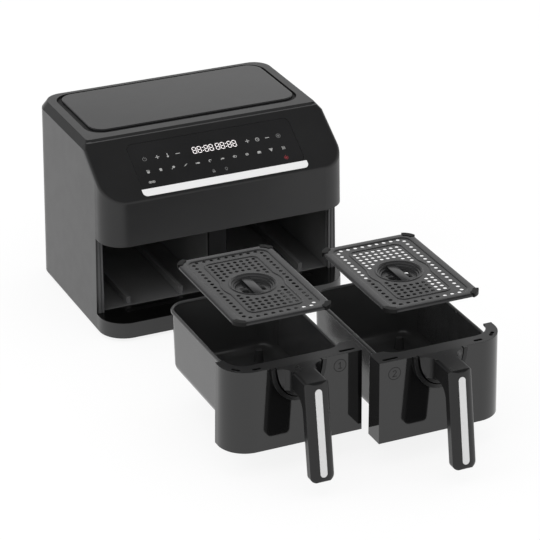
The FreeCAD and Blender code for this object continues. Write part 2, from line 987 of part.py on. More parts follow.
def make_drawer_front():
    """Hollow moulded front with a corner wing and a slotted top ledge."""
    front = front_block(0.0, 0.0).cut(front_block(front_wall, front_wall))
    room = Part.Face(basket_section(basket_top, -fit_gap)).extrude(Vector(0, 0, far))
    room.translate(Vector(0, 0, -far / 2.0))
    front = front.cut(room)
    inner_side = box(
        -drawer_middle + basket_half_width - basket_corner,
        far,
        front_y + inner_wing_depth,
        far,
        0,
        far,
    )
    front = front.cut(inner_side)
    y = front_y + ledge_slot_inset
    inner = -centre_gap / 2.0 - ledge_slot_inner_margin
    outer = corner_radius + ledge_slot_corner_margin - housing_width / 2.0
    turn = corner_radius - (corner_radius - ledge_slot_inset) * math.sqrt(0.5)
    slots = [
        ledge_slot(ledge_slot_long, inner, y, 0.0),
        ledge_slot(ledge_slot_length, outer, y, 0.0),
        ledge_slot(ledge_slot_length, turn - housing_width / 2.0, front_y + turn, -45.0),
    ]
    return front.cut(Part.makeCompound(slots))


def ledge_slot(length, x, y, turn):
    slot = rounded_prism(
        -length / 2.0,
        length / 2.0,
        -ledge_slot_width / 2.0,
        ledge_slot_width / 2.0,
        ledge_slot_width / 2.0 - 0.05,
        front_top - 2.0 * front_wall,
        front_top + 1.0,
    )
    slot.rotate(Vector(0, 0, 0), Vector(0, 0, 1), turn)
    slot.translate(Vector(x, y, 0))
    return slot


def make_front_cover():
    """Plate that closes the hollow of the drawer front towards the basket."""
    slab = box(
        -far,
        far,
        front_y + basket_front - fit_gap - cover_thickness,
        front_y + basket_front - fit_gap,
        front_bottom + front_wall + fit_gap,
        front_top - front_wall - fit_gap,
    )
    return front_block(front_wall + fit_gap, front_wall).common(slab)


def rounded_outline(corners):
    """Closed wire through (reach, depth, radius) corners, each corner rounded by its radius."""
    points = [Vector(0, front_y - reach, front_top - depth) for reach, depth, _ in corners]
    starts = []
    ends = []
    middles = []
    for index, (_, _, radius) in enumerate(corners):
        here = points[index]
        before = (points[index - 1] - here).normalize()
        after = (points[(index + 1) % len(points)] - here).normalize()
        half = before.getAngle(after) / 2.0
        reach = radius / math.tan(half)
        starts.append(here + before * reach)
        ends.append(here + after * reach)
        inward = (before + after).normalize()
        middles.append(here + inward * (radius / math.sin(half) - radius))
    edges = []
    for index, (_, _, radius) in enumerate(corners):
        if radius > 0:
            edges.append(Part.Arc(starts[index], middles[index], ends[index]).toShape())
        following = starts[(index + 1) % len(corners)]
        edges.append(Part.LineSegment(ends[index], following).toShape())
    return Part.Wire(edges)


def grip_reach(depth):
    """How far the leaning front of the grip stands out at a depth below its top."""
    return grip_top_reach + grip_lean * depth


def handle_profile():
    """Side outline of the neck and the leaning grip."""
    root = -grip_root
    return rounded_outline(
        [
            (root, 0.0, 0.0),
            (grip_reach(0.0), 0.0, grip_top_round),
            (grip_reach(grip_length), grip_length, 0.0),
            (grip_reach(grip_length) - grip_thickness, grip_length, 0.0),
            (grip_reach(neck_tip_height) - grip_thickness, neck_tip_height, grip_inner_round),
            (root, neck_root_height, 0.0),
        ]
    )


def handle_strip_shape(centre, clearance, thickness, proud):
    """Bright stadium strip laid along the leaning front of the grip."""
    lean = math.atan(grip_lean)
    half = strip_width / 2.0 + clearance
    length = (grip_length - strip_bottom_margin - strip_top_margin) / math.cos(lean)
    strip = rounded_prism(
        -half, half, -length / 2.0 - clearance, length / 2.0 + clearance, half - 0.05, -thickness, proud
    )
    strip.rotate(Vector(0, 0, 0), Vector(1, 0, 0), 90.0 - math.degrees(lean))
    depth = (strip_top_margin + grip_length - strip_bottom_margin) / 2.0
    strip.translate(Vector(centre, front_y - grip_reach(depth), front_top - depth))
    return strip


def front_plane_disc(centre, grow, reach):
    """Half ellipse on the drawer front, as deep as the flange and a margin, that stands out by reach."""
    curve = Part.Ellipse(Vector(0, 0, 0), flange_depth + grow, flange_half_width + grow)
    face = Part.Face(Part.Wire(curve.toShape()))
    face.rotate(Vector(0, 0, 0), Vector(1, 1, 1), -120.0)
    face.translate(Vector(centre, front_y - reach, front_top))
    disc = face.extrude(Vector(0, reach + front_wall, 0))
    return disc.common(box(-far, far, -far, far, 0, front_top))


def neck_flare(centre):
    """Concave corners between the neck and its flange, as a plan outline of full height."""
    half = grip_width / 2.0
    root = front_y + grip_root
    foot = front_y - flange_thickness
    tip = foot - flare_round
    wide = half + flare_round
    bend = flare_round * (1.0 - math.sqrt(0.5))
    left = [Vector(x, y, 0) for x, y in ((-wide, foot), (-half - bend, foot - bend), (-half, tip))]
    right = [Vector(-point.x, point.y, 0) for point in reversed(left)]
    corners = [Vector(wide, root, 0), Vector(-wide, root, 0)]
    edges = [
        Part.Arc(*left).toShape(),
        Part.LineSegment(left[2], right[0]).toShape(),
        Part.Arc(*right).toShape(),
        Part.LineSegment(right[2], corners[0]).toShape(),
        Part.LineSegment(corners[0], corners[1]).toShape(),
        Part.LineSegment(corners[1], left[0]).toShape(),
    ]
    prism = Part.Face(Part.Wire(edges)).extrude(Vector(0, 0, far))
    prism.translate(Vector(centre, 0, 0))
    return prism


def extruded_handle(centre, half):
    side = Part.Face(handle_profile())
    side.translate(Vector(centre - half, 0, 0))
    return side.extrude(Vector(2.0 * half, 0, 0))


def make_handle(centre, solid_front):
    """Neck and leaning grip in one moulding, with a part-round flange against the drawer front."""
    half = grip_width / 2.0
    low = front_top - grip_length
    end = rounded_prism(-half, half, low, low + far, grip_end_round, -far, far)
    end.rotate(Vector(0, 0, 0), Vector(1, 0, 0), 90.0)
    end.translate(Vector(centre, 0, 0))
    grip = extruded_handle(centre, half).common(end)
    edges = []
    for edge in grip.Edges:
        ends = [vertex.Point for vertex in edge.Vertexes]
        at_root = all(point.y > front_y + grip_root - 0.1 for point in ends)
        crosses = abs(ends[0].x - ends[-1].x) > grip_width - 2.0 * grip_end_round + 0.1
        seam = abs(ends[0].y - ends[-1].y) > grip_thickness / 2.0 and ends[0].z < low + grip_end_round + 0.1
        if not (at_root or crosses or seam):
            edges.append(edge)
    grip = grip.makeFillet(grip_edge_round, edges)
    reach = flange_thickness + flare_round
    flare = extruded_handle(centre, half + flare_round).common(neck_flare(centre))
    flare = flare.common(front_plane_disc(centre, 0.0, reach))
    handle = fused([grip, flare, front_plane_disc(centre, 0.0, flange_thickness)])
    recess = Part.makeCylinder(
        recess_radius,
        recess_depth,
        Vector(centre, front_y - flange_thickness, front_top - recess_drop),
        Vector(0, 1, 0),
    )
    handle = handle.cut(recess).cut(solid_front)
    return handle.cut(handle_strip_shape(centre, strip_clearance, strip_thickness, far))


def make_handle_ring(centre, solid_front):
    """Raised part-round bead on the drawer front, round the handle's flange."""
    ring = front_plane_disc(centre, ring_gap + ring_width, ring_thickness)
    ring = ring.cut(front_plane_disc(centre, ring_gap, ring_thickness + 1.0))
    return ring.cut(solid_front)


def hole_prism(x, y):
    """Six-sided perforation through the sheet."""
    corners = []
    for index in range(6):
        angle = math.radians(60.0 * index)
        corners.append(
            Vector(x + hole_size / 2.0 * math.cos(angle), y + hole_size / 2.0 * math.sin(angle), -far)
        )
    return Part.Face(Part.makePolygon(corners + corners[:1])).extrude(Vector(0, 0, 2.0 * far))


def spread(span, pitch):
    """Evenly spaced places across a span, as many as the pitch allows."""
    count = int(span / pitch) + 1
    step = span / (count - 1)
    return [index * step - span / 2.0 for index in range(count)]


def hole_places():
    """Border rows outside the bead, and two fields inside it that keep clear of the dish."""
    bead_x = plate_width / 2.0 - plate_bead_side_inset
    bead_y = plate_length / 2.0 - plate_bead_end_inset
    row_x = bead_x + hole_edge_gap
    row_y = bead_y + hole_edge_gap
    places = []
    for x in spread(2.0 * bead_x + hole_size, hole_edge_pitch):
        places += [(x, -row_y), (x, row_y)]
    for y in spread(2.0 * bead_y + hole_size, hole_edge_pitch):
        places += [(-row_x, y), (row_x, y)]
    for column in range(hole_columns):
        x = (column - (hole_columns - 1) / 2.0) * hole_pitch
        for row in range(hole_rows):
            y = bead_y - hole_bead_gap - plate_bead_width - row * hole_pitch
            if math.hypot(x, y) > dish_ring_radius + hole_dish_gap:
                places += [(x, y), (x, -y)]
    return places


def bead_field(inset):
    """Field inside the stamped bead: a rounded rectangle that bulges round the dish."""
    x = plate_width / 2.0 - plate_bead_side_inset - inset
    y = plate_length / 2.0 - plate_bead_end_inset - inset
    field = rounded_prism(-x, x, -y, y, plate_bead_corner - inset, -plate_sheet, plate_bead_height)
    height = plate_sheet + plate_bead_height
    return field.fuse(post(plate_bead_bulge - inset, height, 0, 0, -plate_sheet)).removeSplitter()


def drawn_form(inset):
    """Outer skin of the sheet, or its inner skin: a pan with a raised border and a turned-down rim."""
    x = plate_width / 2.0 - inset
    y = plate_length / 2.0 - inset
    top = plate_border_rise - inset
    form = rounded_prism(-x, x, -y, y, plate_corner - inset, -plate_rim, top)
    form = form.makeFillet(plate_edge_round - inset, edges_at_height(form, top))
    wide = plate_border - 2.0 * inset
    x, y = x - wide, y - wide
    pan = rounded_prism(-x, x, -y, y, plate_corner - plate_border / 2.0 + inset, -inset, far)
    form = form.cut(pan)
    if inset:
        return form
    inner = []
    for edge in edges_at_height(form, top):
        if max(abs(edge.BoundBox.XMax), abs(edge.BoundBox.XMin)) < x + 0.01:
            inner.append(edge)
    return form.makeFillet(plate_border_round, inner)


def dish_steps_form(inset, top):
    """Stack of discs, each smaller and deeper than the one above."""
    discs = []
    for step in range(dish_steps):
        depth = dish_step * (step + 1)
        radius = dish_radius - step * dish_step - inset
        low = inset - depth - plate_sheet
        discs.append(post(radius, top - low, 0, 0, low))
    return fused(discs)


def make_crisper_plate():
    """Stamped plate at the origin, its field at zero: raised border, bead, stepped dish and holes."""
    plate = drawn_form(0.0).cut(drawn_form(plate_sheet))
    bead = bead_field(0.0).cut(bead_field(plate_bead_width))
    ring_height = plate_sheet + plate_bead_height
    ring = post(dish_ring_radius, ring_height, 0, 0, -plate_sheet)
    ring = ring.cut(post(dish_ring_radius - plate_bead_width, ring_height, 0, 0, -plate_sheet))
    plate = plate.fuse(bead).fuse(ring)
    dish = dish_steps_form(0.0, 0.0).cut(dish_steps_form(plate_sheet, 1.0))
    plate = plate.cut(post(dish_radius, far, 0, 0, -far / 2.0)).fuse(dish)
    half_bar = dish_bar_width / 2.0
    bar = box(-half_bar, half_bar, -dish_radius, dish_radius, -dish_step - plate_sheet, -dish_step)
    bar = bar.common(post(dish_radius - plate_sheet / 2.0, far, 0, 0, -far / 2.0))
    plate = plate.fuse(bar).removeSplitter()
    windows = []
    for side in (-1, 1):
        x = side * (half_bar + dish_window_width / 2.0)
        windows.append(
            box(
                x - dish_window_width / 2.0,
                x + dish_window_width / 2.0,
                -dish_window_length / 2.0,
                dish_window_length / 2.0,
                -far,
                -dish_step * dish_steps + 0.5,
            )
        )
    plate = plate.cut(Part.makeCompound(windows))
    holes = [hole_prism(x, y) for x, y in hole_places()]
    return plate.cut(Part.makeCompound(holes))


def make_plate_bumpers(plate):
    """Soft rounded caps that clip over the border at the four corners."""
    x = plate_width / 2.0 + bumper_skin
    y = plate_length / 2.0 + bumper_skin
    top = plate_border_rise + bumper_tuck
    ring = rounded_prism(-x, x, -y, y, plate_corner + bumper_skin, -bumper_height, top)
    deep = bumper_skin + bumper_width
    inner = plate_corner - bumper_width
    core = rounded_prism(deep - x, x - deep, deep - y, y - deep, inner, -bumper_height, top)
    ring = ring.cut(core).cut(plate)
    bend = plate_corner * (1.0 - math.sqrt(0.5))
    pieces = []
    for sx in (-1, 1):
        for sy in (-1, 1):
            place = (sx * (plate_width / 2.0 - bend), sy * (plate_length / 2.0 - bend))
            pieces += ring.common(post(bumper_radius, far, *place, -far / 2.0)).Solids
    return Part.makeCompound(pieces)


def place_plate(shape, side, slide):
    x = side * drawer_middle
    shape.translate(Vector(x, front_y + plate_middle - slide, plate_hover))
    return shape


def build():
    plain = housing_form(0.0)
    outer = stepped_top_edge(rounded_fascia_edges(plain))
    inner = housing_form(shell_wall, foot_height - 1.0)
    nodes = {
        "outer_shell": make_outer_shell(outer, inner),
        "front_fascia": make_front_fascia(outer, inner),
        "control_glass": make_control_glass(),
        "display_module": make_display_module(),
        "control_board": make_control_board(),
        "trim_bar": make_trim_bar(),
        "top_tray": make_top_tray(),
        "top_panel": make_top_panel(),
        "base_pan": make_base_pan(plain),
        "feet": make_feet(),
        "sill_seal": make_sill_seal(),
        "header_trim": make_header_trim(),
        "centre_divider": make_centre_divider(),
        "power_board": make_power_board(),
        "rear_grille": make_rear_grille(),
        "cord_inlet": make_cord_inlet(),
        "drawer_sensors": make_drawer_sensors(),
    }
    chamber = {
        "jamb_trim": make_jamb_trim(),
        "liner": make_liner(),
        "runner_rails": make_runner_rails(),
        "heater": make_heater(),
        "heater_guard": make_heater_guard(),
        "motor": make_motor(),
        "motor_bracket": make_motor_bracket(),
        "fan_shaft": make_fan_shaft(),
        "convection_fan": make_rotor(fan_radius, fan_low, fan_blade_height, fan_blade_count, fan_disc),
        "cooling_fan": make_rotor(
            cooling_radius, cooling_low, cooling_blade_height, cooling_blade_count, fan_disc
        ),
    }
    solid_front = front_block(0.0, 0.0)
    drawer = {
        "basket": make_basket(),
        "drawer_front": make_drawer_front(),
        "front_cover": make_front_cover(),
    }
    plate = make_crisper_plate()
    plate_set = {"crisper_plate": plate, "plate_bumpers": make_plate_bumpers(plate)}
    sides = (
        (-1, "left", slide_left, handle_offset_left - drawer_middle),
        (1, "right", slide_right, handle_offset_right - drawer_middle),
    )
    for side, word, slide, centre in sides:
        drawer["handle"] = make_handle(centre, solid_front)
        drawer["handle_ring"] = make_handle_ring(centre, solid_front)
        drawer["handle_strip"] = handle_strip_shape(centre, 0.0, strip_thickness, strip_proud)
        for name, shape in chamber.items():
            nodes[name + "_" + word] = shape.copy() if side < 0 else mirrored(shape)
        for name, shape in drawer.items():
            piece = shape.copy() if side < 0 else mirrored(shape)
            piece.translate(Vector(0, -slide, drawer_lift))
            nodes[name + "_" + word] = piece
        for name, shape in plate_set.items():
            nodes[name + "_" + word] = place_plate(shape.copy(), side, slide)
    return nodes


def main():
    os.makedirs("parts", exist_ok=True)
    for name, shape in build().items():
        shape.exportStep("parts/" + name + ".step")
        print(name, len(shape.Solids), round(shape.Volume / 1000.0, 2), "cm3", shape.isValid())
    print("plate travel", round(plate_travel, 2), "front of housing at y", round(front_y, 2))


main()
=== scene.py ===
# %% [markdown]
# A twin-drawer air fryer on a white studio floor.
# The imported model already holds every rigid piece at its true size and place. This lesson
# gives each piece its finish and adds what is too fine for a solid: printed symbols, a lit
# display, drawn and perforated sheet metal, a rolled rim and small screws. It also gives the
# plates, their corner clips, the handles and the lid a softer form than their solids have.

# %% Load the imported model
import json
import math

import bmesh
import bpy
from mathutils import Matrix, Vector


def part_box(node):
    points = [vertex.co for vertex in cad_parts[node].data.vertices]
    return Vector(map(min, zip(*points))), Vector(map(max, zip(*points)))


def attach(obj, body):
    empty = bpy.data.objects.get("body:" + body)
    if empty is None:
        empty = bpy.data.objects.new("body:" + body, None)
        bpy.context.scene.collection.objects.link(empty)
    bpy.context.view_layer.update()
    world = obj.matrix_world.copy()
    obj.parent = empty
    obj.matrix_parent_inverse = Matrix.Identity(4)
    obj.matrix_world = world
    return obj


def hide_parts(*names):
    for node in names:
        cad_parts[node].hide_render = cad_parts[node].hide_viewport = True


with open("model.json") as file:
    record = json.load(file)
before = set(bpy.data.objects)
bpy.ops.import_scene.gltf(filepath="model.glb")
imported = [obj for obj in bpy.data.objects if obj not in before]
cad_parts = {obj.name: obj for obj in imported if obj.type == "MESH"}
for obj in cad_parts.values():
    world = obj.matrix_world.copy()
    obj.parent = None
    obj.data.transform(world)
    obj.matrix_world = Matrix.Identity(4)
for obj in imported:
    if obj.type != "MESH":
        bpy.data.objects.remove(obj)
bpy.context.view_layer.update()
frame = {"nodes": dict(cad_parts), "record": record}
nodes = frame["nodes"]
scene = bpy.context.scene
MM = 0.001

# %% [markdown]
# The camera. A product picture like this is taken from far away with a long lens, so that
# parallel edges stay almost parallel. The direction was found from straight edges of the
# housing: about 24 degrees to the left of the front and 25 degrees above it.

# %% Camera
CAMERA_PLACE = Vector((-1.35295, -3.01243, 1.71846))
AZIMUTH, ELEVATION, ROLL = (math.radians(a) for a in (-24.238, 25.528, -0.178))
FOCAL_PIXELS, FRAME_PIXELS, SENSOR = 2570.2, 540.0, 36.0
FARTHEST = 100.0


def placed(name, data):
    """New object in the scene that holds a mesh, a lens or a light."""
    piece = bpy.data.objects.new(name, data)
    scene.collection.objects.link(piece)
    return piece


def camera_axes():
    """Directions to the right, up and back of the camera."""
    across, level = math.sin(AZIMUTH) * math.cos(ELEVATION), math.cos(AZIMUTH) * math.cos(ELEVATION)
    back = Vector((across, -level, math.sin(ELEVATION)))
    right = Vector((math.cos(AZIMUTH), math.sin(AZIMUTH), 0.0))
    up = back.cross(right)
    turned = right * math.cos(ROLL) + up * math.sin(ROLL)
    return turned, back.cross(turned), back


lens = bpy.data.cameras.new("camera")
lens.sensor_width = SENSOR
lens.sensor_fit = "HORIZONTAL"
lens.lens = FOCAL_PIXELS / FRAME_PIXELS * SENSOR
lens.clip_end = FARTHEST
camera = placed("camera", lens)
camera.matrix_world = Matrix.Translation(CAMERA_PLACE) @ Matrix(camera_axes()).transposed().to_4x4()
scene.camera = camera
scene.view_settings.view_transform = "Standard"
print("lens", round(lens.lens, 2), "mm")

# %% [markdown]
# The studio. Glossy black plastic shows its surroundings more than its own colour: upright
# faces mirror the floor, the lid mirrors the far wall, and the sloping panel mirrors the
# ceiling. A white floor and white walls under a darker ceiling give each face its own tone.
# Part of the wall behind on the left is dimmed, as a photographer's dark flag would do.

# %% Studio walls
HORIZON, CEILING, FILL = 0.86, 0.12, 1.0
WALL_SPAN = (0.47, 0.72)
FLAG_WAY = Vector((-0.54, 0.81, 0.22)).normalized()
FLAG_SPAN, FLAG_SHADE = (0.82, 0.96), 0.45
WHITE = (1.0, 1.0, 1.0, 1.0)


def node_tree(owner):
    owner.use_nodes = True
    owner.node_tree.nodes.clear()
    return owner.node_tree


def add(tree, kind, **settings):
    """Adds a node; a setting that is no property of the node is one of its inputs."""
    node = tree.nodes.new(kind)
    for key, value in settings.items():
        if key in node.bl_rna.properties:
            setattr(node, key, value)
        else:
            node.inputs[key.replace("_", " ")].default_value = value
    return node


def wire(tree, *pairs):
    """Links each pair of an output and an input."""
    for source, target in pairs:
        tree.links.new(source, target)


def ranged(tree, value, before, after, curve="LINEAR"):
    """Turns one span of values into another and holds what lies outside at its ends."""
    ends = {"From_Min": before[0], "From_Max": before[1], "To_Min": after[0], "To_Max": after[1]}
    spread = add(tree, "ShaderNodeMapRange", interpolation_type=curve, **ends)
    tree.links.new(value, spread.inputs["Value"])
    return spread.outputs["Result"]


def seen_directly(tree):
    """One for rays that show a background: straight, mirrored or refracted ones."""
    path = add(tree, "ShaderNodeLightPath")
    first = add(tree, "ShaderNodeMath", operation="MAXIMUM")
    both = add(tree, "ShaderNodeMath", operation="MAXIMUM")
    wire(
        tree,
        (path.outputs["Is Camera Ray"], first.inputs[0]),
        (path.outputs["Is Glossy Ray"], first.inputs[1]),
        (first.outputs[0], both.inputs[0]),
        (path.outputs["Is Transmission Ray"], both.inputs[1]),
    )
    return both.outputs[0]


world = bpy.data.worlds.new("studio")
scene.world = world
tree = node_tree(world)
way = add(tree, "ShaderNodeTexCoord").outputs["Generated"]
height = add(tree, "ShaderNodeSeparateXYZ")
flag = add(tree, "ShaderNodeVectorMath", operation="DOT_PRODUCT")
flag.inputs[1].default_value = FLAG_WAY
dim = add(tree, "ShaderNodeMath", operation="MULTIPLY")
seen = add(tree, "ShaderNodeBackground", Color=WHITE)
fill = add(tree, "ShaderNodeBackground", Color=WHITE, Strength=FILL)
mix = add(tree, "ShaderNodeMixShader")
out = add(tree, "ShaderNodeOutputWorld")
wire(
    tree,
    (way, height.inputs[0]),
    (way, flag.inputs[0]),
    (ranged(tree, flag.outputs["Value"], FLAG_SPAN, (1.0, FLAG_SHADE), "SMOOTHSTEP"), dim.inputs[0]),
    (ranged(tree, height.outputs["Z"], WALL_SPAN, (HORIZON, CEILING), "SMOOTHSTEP"), dim.inputs[1]),
    (dim.outputs[0], seen.inputs["Strength"]),
    (seen_directly(tree), mix.inputs[0]),
    (fill.outputs[0], mix.inputs[1]),
    (seen.outputs[0], mix.inputs[2]),
    (mix.outputs[0], out.inputs[0]),
)
print("studio: horizon", HORIZON, "ceiling", CEILING)

# %% Floor and soft light
FLOOR_GREY, FLOOR_GLOW, FLOOR_REACH = 0.16, 0.85, 30.0
LIGHT_PLACE, LIGHT_AIM = Vector((-2.6, -0.4, 1.5)), Vector((0.0, 0.1, 0.15))
LIGHT_SIZE, LIGHT_POWER = 1.6, 12.0

floor_paint = bpy.data.materials.new("studio_floor")
tree = node_tree(floor_paint)
paint = add(tree, "ShaderNodeBsdfDiffuse", Color=(FLOOR_GREY, FLOOR_GREY, FLOOR_GREY, 1.0))
glow = add(tree, "ShaderNodeEmission", Color=WHITE, Strength=FLOOR_GLOW)
hidden = add(tree, "ShaderNodeEmission", Strength=0.0)
switch = add(tree, "ShaderNodeMixShader")
both = add(tree, "ShaderNodeAddShader")
out = add(tree, "ShaderNodeOutputMaterial")
wire(
    tree,
    (seen_directly(tree), switch.inputs[0]),
    (hidden.outputs[0], switch.inputs[1]),
    (glow.outputs[0], switch.inputs[2]),
    (paint.outputs[0], both.inputs[0]),
    (switch.outputs[0], both.inputs[1]),
    (both.outputs[0], out.inputs[0]),
)
corners = [(x * FLOOR_REACH, y * FLOOR_REACH, 0.0) for x, y in ((-1, -1), (1, -1), (1, 1), (-1, 1))]
floor_mesh = bpy.data.meshes.new("studio_floor")
floor_mesh.from_pydata(corners, [], [(0, 1, 2, 3)])
floor_mesh.materials.append(floor_paint)
floor = placed("studio_floor", floor_mesh)

light = bpy.data.lights.new("side_softbox", "AREA")
light.size = LIGHT_SIZE
light.energy = LIGHT_POWER
softbox = placed("side_softbox", light)
softbox.location = LIGHT_PLACE
softbox.rotation_euler = (LIGHT_AIM - LIGHT_PLACE).to_track_quat("-Z", "Y").to_euler()
softbox.visible_glossy = False
print("floor", 2 * FLOOR_REACH, "m wide, soft light", LIGHT_SIZE, "m wide")

# %% [markdown]
# Finishes. One recipe serves every hard surface: a slow noise shifts the colour and the
# polish a little, as handling and moulding do, a fine noise makes the grain, and a small
# rounding of the shading normal lets each edge catch a thin line of light. Three tools change
# a finish by place: one repaints what lies above a height, which on the fascia paints a
# highlight line, one paints a sheen by letting the mirror fade from one end of a piece to the
# other, and one paints shade into narrow slots by taking the mirror out there.

# %% Finish recipe
EVEN = (1.0, 1.0, 1.0)
NOISE_SPAN = (0.3, 0.7)
SLOW_SCALE, SLOW_DETAIL = 14.0, 3.0
CLOUD_SCALE, CLOUD_DETAIL = 45.0, 4.0
GRAIN_DETAIL, GRAIN_DEPTH = 2.0, 0.0004
SURFACE_IOR, EDGE_SAMPLES = 1.5, 4


def linked_noise(tree, coords, scale, detail, stretch=EVEN):
    mapping = add(tree, "ShaderNodeMapping", Scale=stretch)
    noise = add(tree, "ShaderNodeTexNoise", Scale=scale, Detail=detail)
    wire(tree, (coords, mapping.inputs["Vector"]), (mapping.outputs[0], noise.inputs["Vector"]))
    return noise.outputs["Fac"]


def finish(
    name, colour, polish, grain=900.0, relief=0.05, metal=0.0,
    stretch=EVEN, edge=0.4, shade=0.12, glow=None, mirror=0.5,
):
    """Procedural surface: polish is the lowest and highest roughness, edge a radius in mm."""
    material = bpy.data.materials.new(name)
    tree = node_tree(material)
    coords = add(tree, "ShaderNodeTexCoord").outputs["Object"]
    optics = {"Metallic": metal, "IOR": SURFACE_IOR, "Specular_IOR_Level": mirror}
    surface = add(tree, "ShaderNodeBsdfPrincipled", **optics)
    slow = linked_noise(tree, coords, SLOW_SCALE, SLOW_DETAIL)
    fine = linked_noise(tree, coords, grain, GRAIN_DETAIL, stretch)
    cloud = linked_noise(tree, coords, CLOUD_SCALE, CLOUD_DETAIL, stretch)
    darker, lighter = ((*[c * share for c in colour], 1.0) for share in (1.0 - shade, 1.0 + shade))
    tone = add(tree, "ShaderNodeMix", data_type="RGBA", A=darker, B=lighter)
    bump = add(tree, "ShaderNodeBump", Strength=relief, Distance=GRAIN_DEPTH)
    out = add(tree, "ShaderNodeOutputMaterial")
    wire(
        tree,
        (ranged(tree, slow, NOISE_SPAN, (0.0, 1.0)), tone.inputs["Factor"]),
        (tone.outputs["Result"], surface.inputs["Base Color"]),
        (ranged(tree, cloud, NOISE_SPAN, polish), surface.inputs["Roughness"]),
        (fine, bump.inputs["Height"]),
        (bump.outputs[0], surface.inputs["Normal"]),
        (surface.outputs[0], out.inputs[0]),
    )
    if edge:
        rounding = add(tree, "ShaderNodeBevel", samples=EDGE_SAMPLES, Radius=edge * MM)
        tree.links.new(rounding.outputs[0], bump.inputs["Normal"])
    if glow:
        surface.inputs["Emission Color"].default_value = (*glow[:3], 1.0)
        surface.inputs["Emission Strength"].default_value = glow[3]
    return material


# %% Finishes that change by place
RECESS_SPAN, RECESS_SAMPLES = (0.45, 0.80), 8


def surface_of(material):
    tree = material.node_tree
    return tree, next(node for node in tree.nodes if node.type == "BSDF_PRINCIPLED")


def upper_face(material, height, colour, polish):
    """Gives all that lies above a height, in metres, another colour and polish."""
    tree, surface = surface_of(material)
    coords = add(tree, "ShaderNodeTexCoord").outputs["Object"]
    level = add(tree, "ShaderNodeSeparateXYZ")
    above = add(tree, "ShaderNodeMath", operation="GREATER_THAN")
    above.inputs[1].default_value = height
    wire(tree, (coords, level.inputs[0]), (level.outputs["Z"], above.inputs[0]))
    changes = (("Base Color", "RGBA", (*colour, 1.0)), ("Roughness", "FLOAT", polish))
    for socket, kind, value in changes:
        swap = add(tree, "ShaderNodeMix", data_type=kind, B=value)
        wire(
            tree,
            (above.outputs[0], swap.inputs["Factor"]),
            (surface.inputs[socket].links[0].from_socket, swap.inputs["A"]),
            (swap.outputs["Result"], surface.inputs[socket]),
        )


def painted_mirror_fade(material, start, end, strong, weak):
    """Painted sheen: lets the mirror strength change evenly from one place to another, both in metres."""
    tree, surface = surface_of(material)
    coords = add(tree, "ShaderNodeTexCoord").outputs["Object"]
    span = end - start
    along = add(tree, "ShaderNodeVectorMath", operation="DOT_PRODUCT")
    along.inputs[1].default_value = span / span.length_squared
    first = start.dot(span) / span.length_squared
    fade = ranged(tree, along.outputs["Value"], (first, first + 1.0), (strong, weak))
    wire(tree, (coords, along.inputs[0]), (fade, surface.inputs["Specular IOR Level"]))


def painted_recess_shade(material, reach):
    """Painted shade: takes the mirror out of narrow slots, where next to no light gets in; reach is in
    mm.
    """
    tree, surface = surface_of(material)
    mirror = surface.inputs["Specular IOR Level"]
    openness = add(tree, "ShaderNodeAmbientOcclusion", samples=RECESS_SAMPLES, Distance=reach * MM)
    fade = ranged(tree, openness.outputs["AO"], RECESS_SPAN, (0.0, mirror.default_value))
    tree.links.new(fade, mirror)


# %% One finish for each slot
BRUSHED_X, BRUSHED_Y, BRUSHED_Z = (0.02, 1.0, 1.0), (1.0, 0.05, 1.0), (1.0, 1.0, 0.02)
finishes = {"housing_gloss": finish("housing_satin", (0.014, 0.014, 0.0145), (0.32, 0.35), 1900.0)}


def coat(slot, *recipe, **more):
    finishes[slot] = finish(slot, *recipe, **more)


coat("grip_satin", (0.0065, 0.0065, 0.0068), (0.27, 0.31), 2600.0, 0.08, edge=0.5, mirror=0.44)
coat("control_glass", (0.013, 0.013, 0.0135), (0.16, 0.20), 500.0, 0.004, edge=0.2)
coat("display", (0.01, 0.01, 0.012), (0.2, 0.3))
coat("board_green", (0.02, 0.12, 0.05), (0.35, 0.5), 1500.0, 0.2)
brushed = {"stretch": BRUSHED_Z, "edge": 0.3, "shade": 0.02}
coat("bright_trim", (0.83, 0.83, 0.83), (0.30, 0.40), 1400.0, metal=0.4, **brushed)
coat("inner_black", (0.006, 0.006, 0.0065), (0.42, 0.5), 2200.0, 0.15, mirror=0.12)
coat("top_satin", (0.014, 0.014, 0.0145), (0.22, 0.245), 3000.0, 0.06)
coat("grille_black", (0.012, 0.012, 0.0125), (0.4, 0.48), 2200.0, 0.15)
coat("soft_black", (0.004, 0.004, 0.004), (0.42, 0.5), 1800.0, 0.2, mirror=0.2)
coat("jamb_grey", (0.09, 0.09, 0.092), (0.35, 0.42), 2400.0, 0.08)
brushed = {"stretch": BRUSHED_Y, "edge": 0.3, "shade": 0.15}
coat("chamber_steel", (0.13, 0.13, 0.131), (0.28, 0.36), 900.0, 0.10, metal=0.1, **brushed)
coat("heater_tube", (0.09, 0.085, 0.08), (0.4, 0.55), 1200.0, 0.2, metal=0.8, shade=0.3)
coat("motor_steel", (0.45, 0.45, 0.45), (0.3, 0.45), 900.0, 0.1, metal=1.0)
coat("fan_aluminium", (0.65, 0.65, 0.65), (0.3, 0.42), 900.0, 0.1, metal=1.0)
coat("basket_coating", (0.045, 0.045, 0.0455), (0.13, 0.19), 1800.0, 0.08, edge=1.0)
coat("plate_coating", (0.028, 0.028, 0.0288), (0.19, 0.26), 2600.0, 0.12, metal=0.2, edge=0.5)
print("finishes", len(finishes))

# %% Special finishes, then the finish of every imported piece
DRAWER_LEDGE, BASE_LEDGE, FASCIA_HIGHLIGHT_DROP = 0.8, 0.6, 1.45
DRAWER_SLOT, PLATE_SLOT = 5.0, 2.5
LID_SLANT, LID_MIRROR_BACK, LID_MIRROR_FRONT = 0.05, 0.50, 0.35

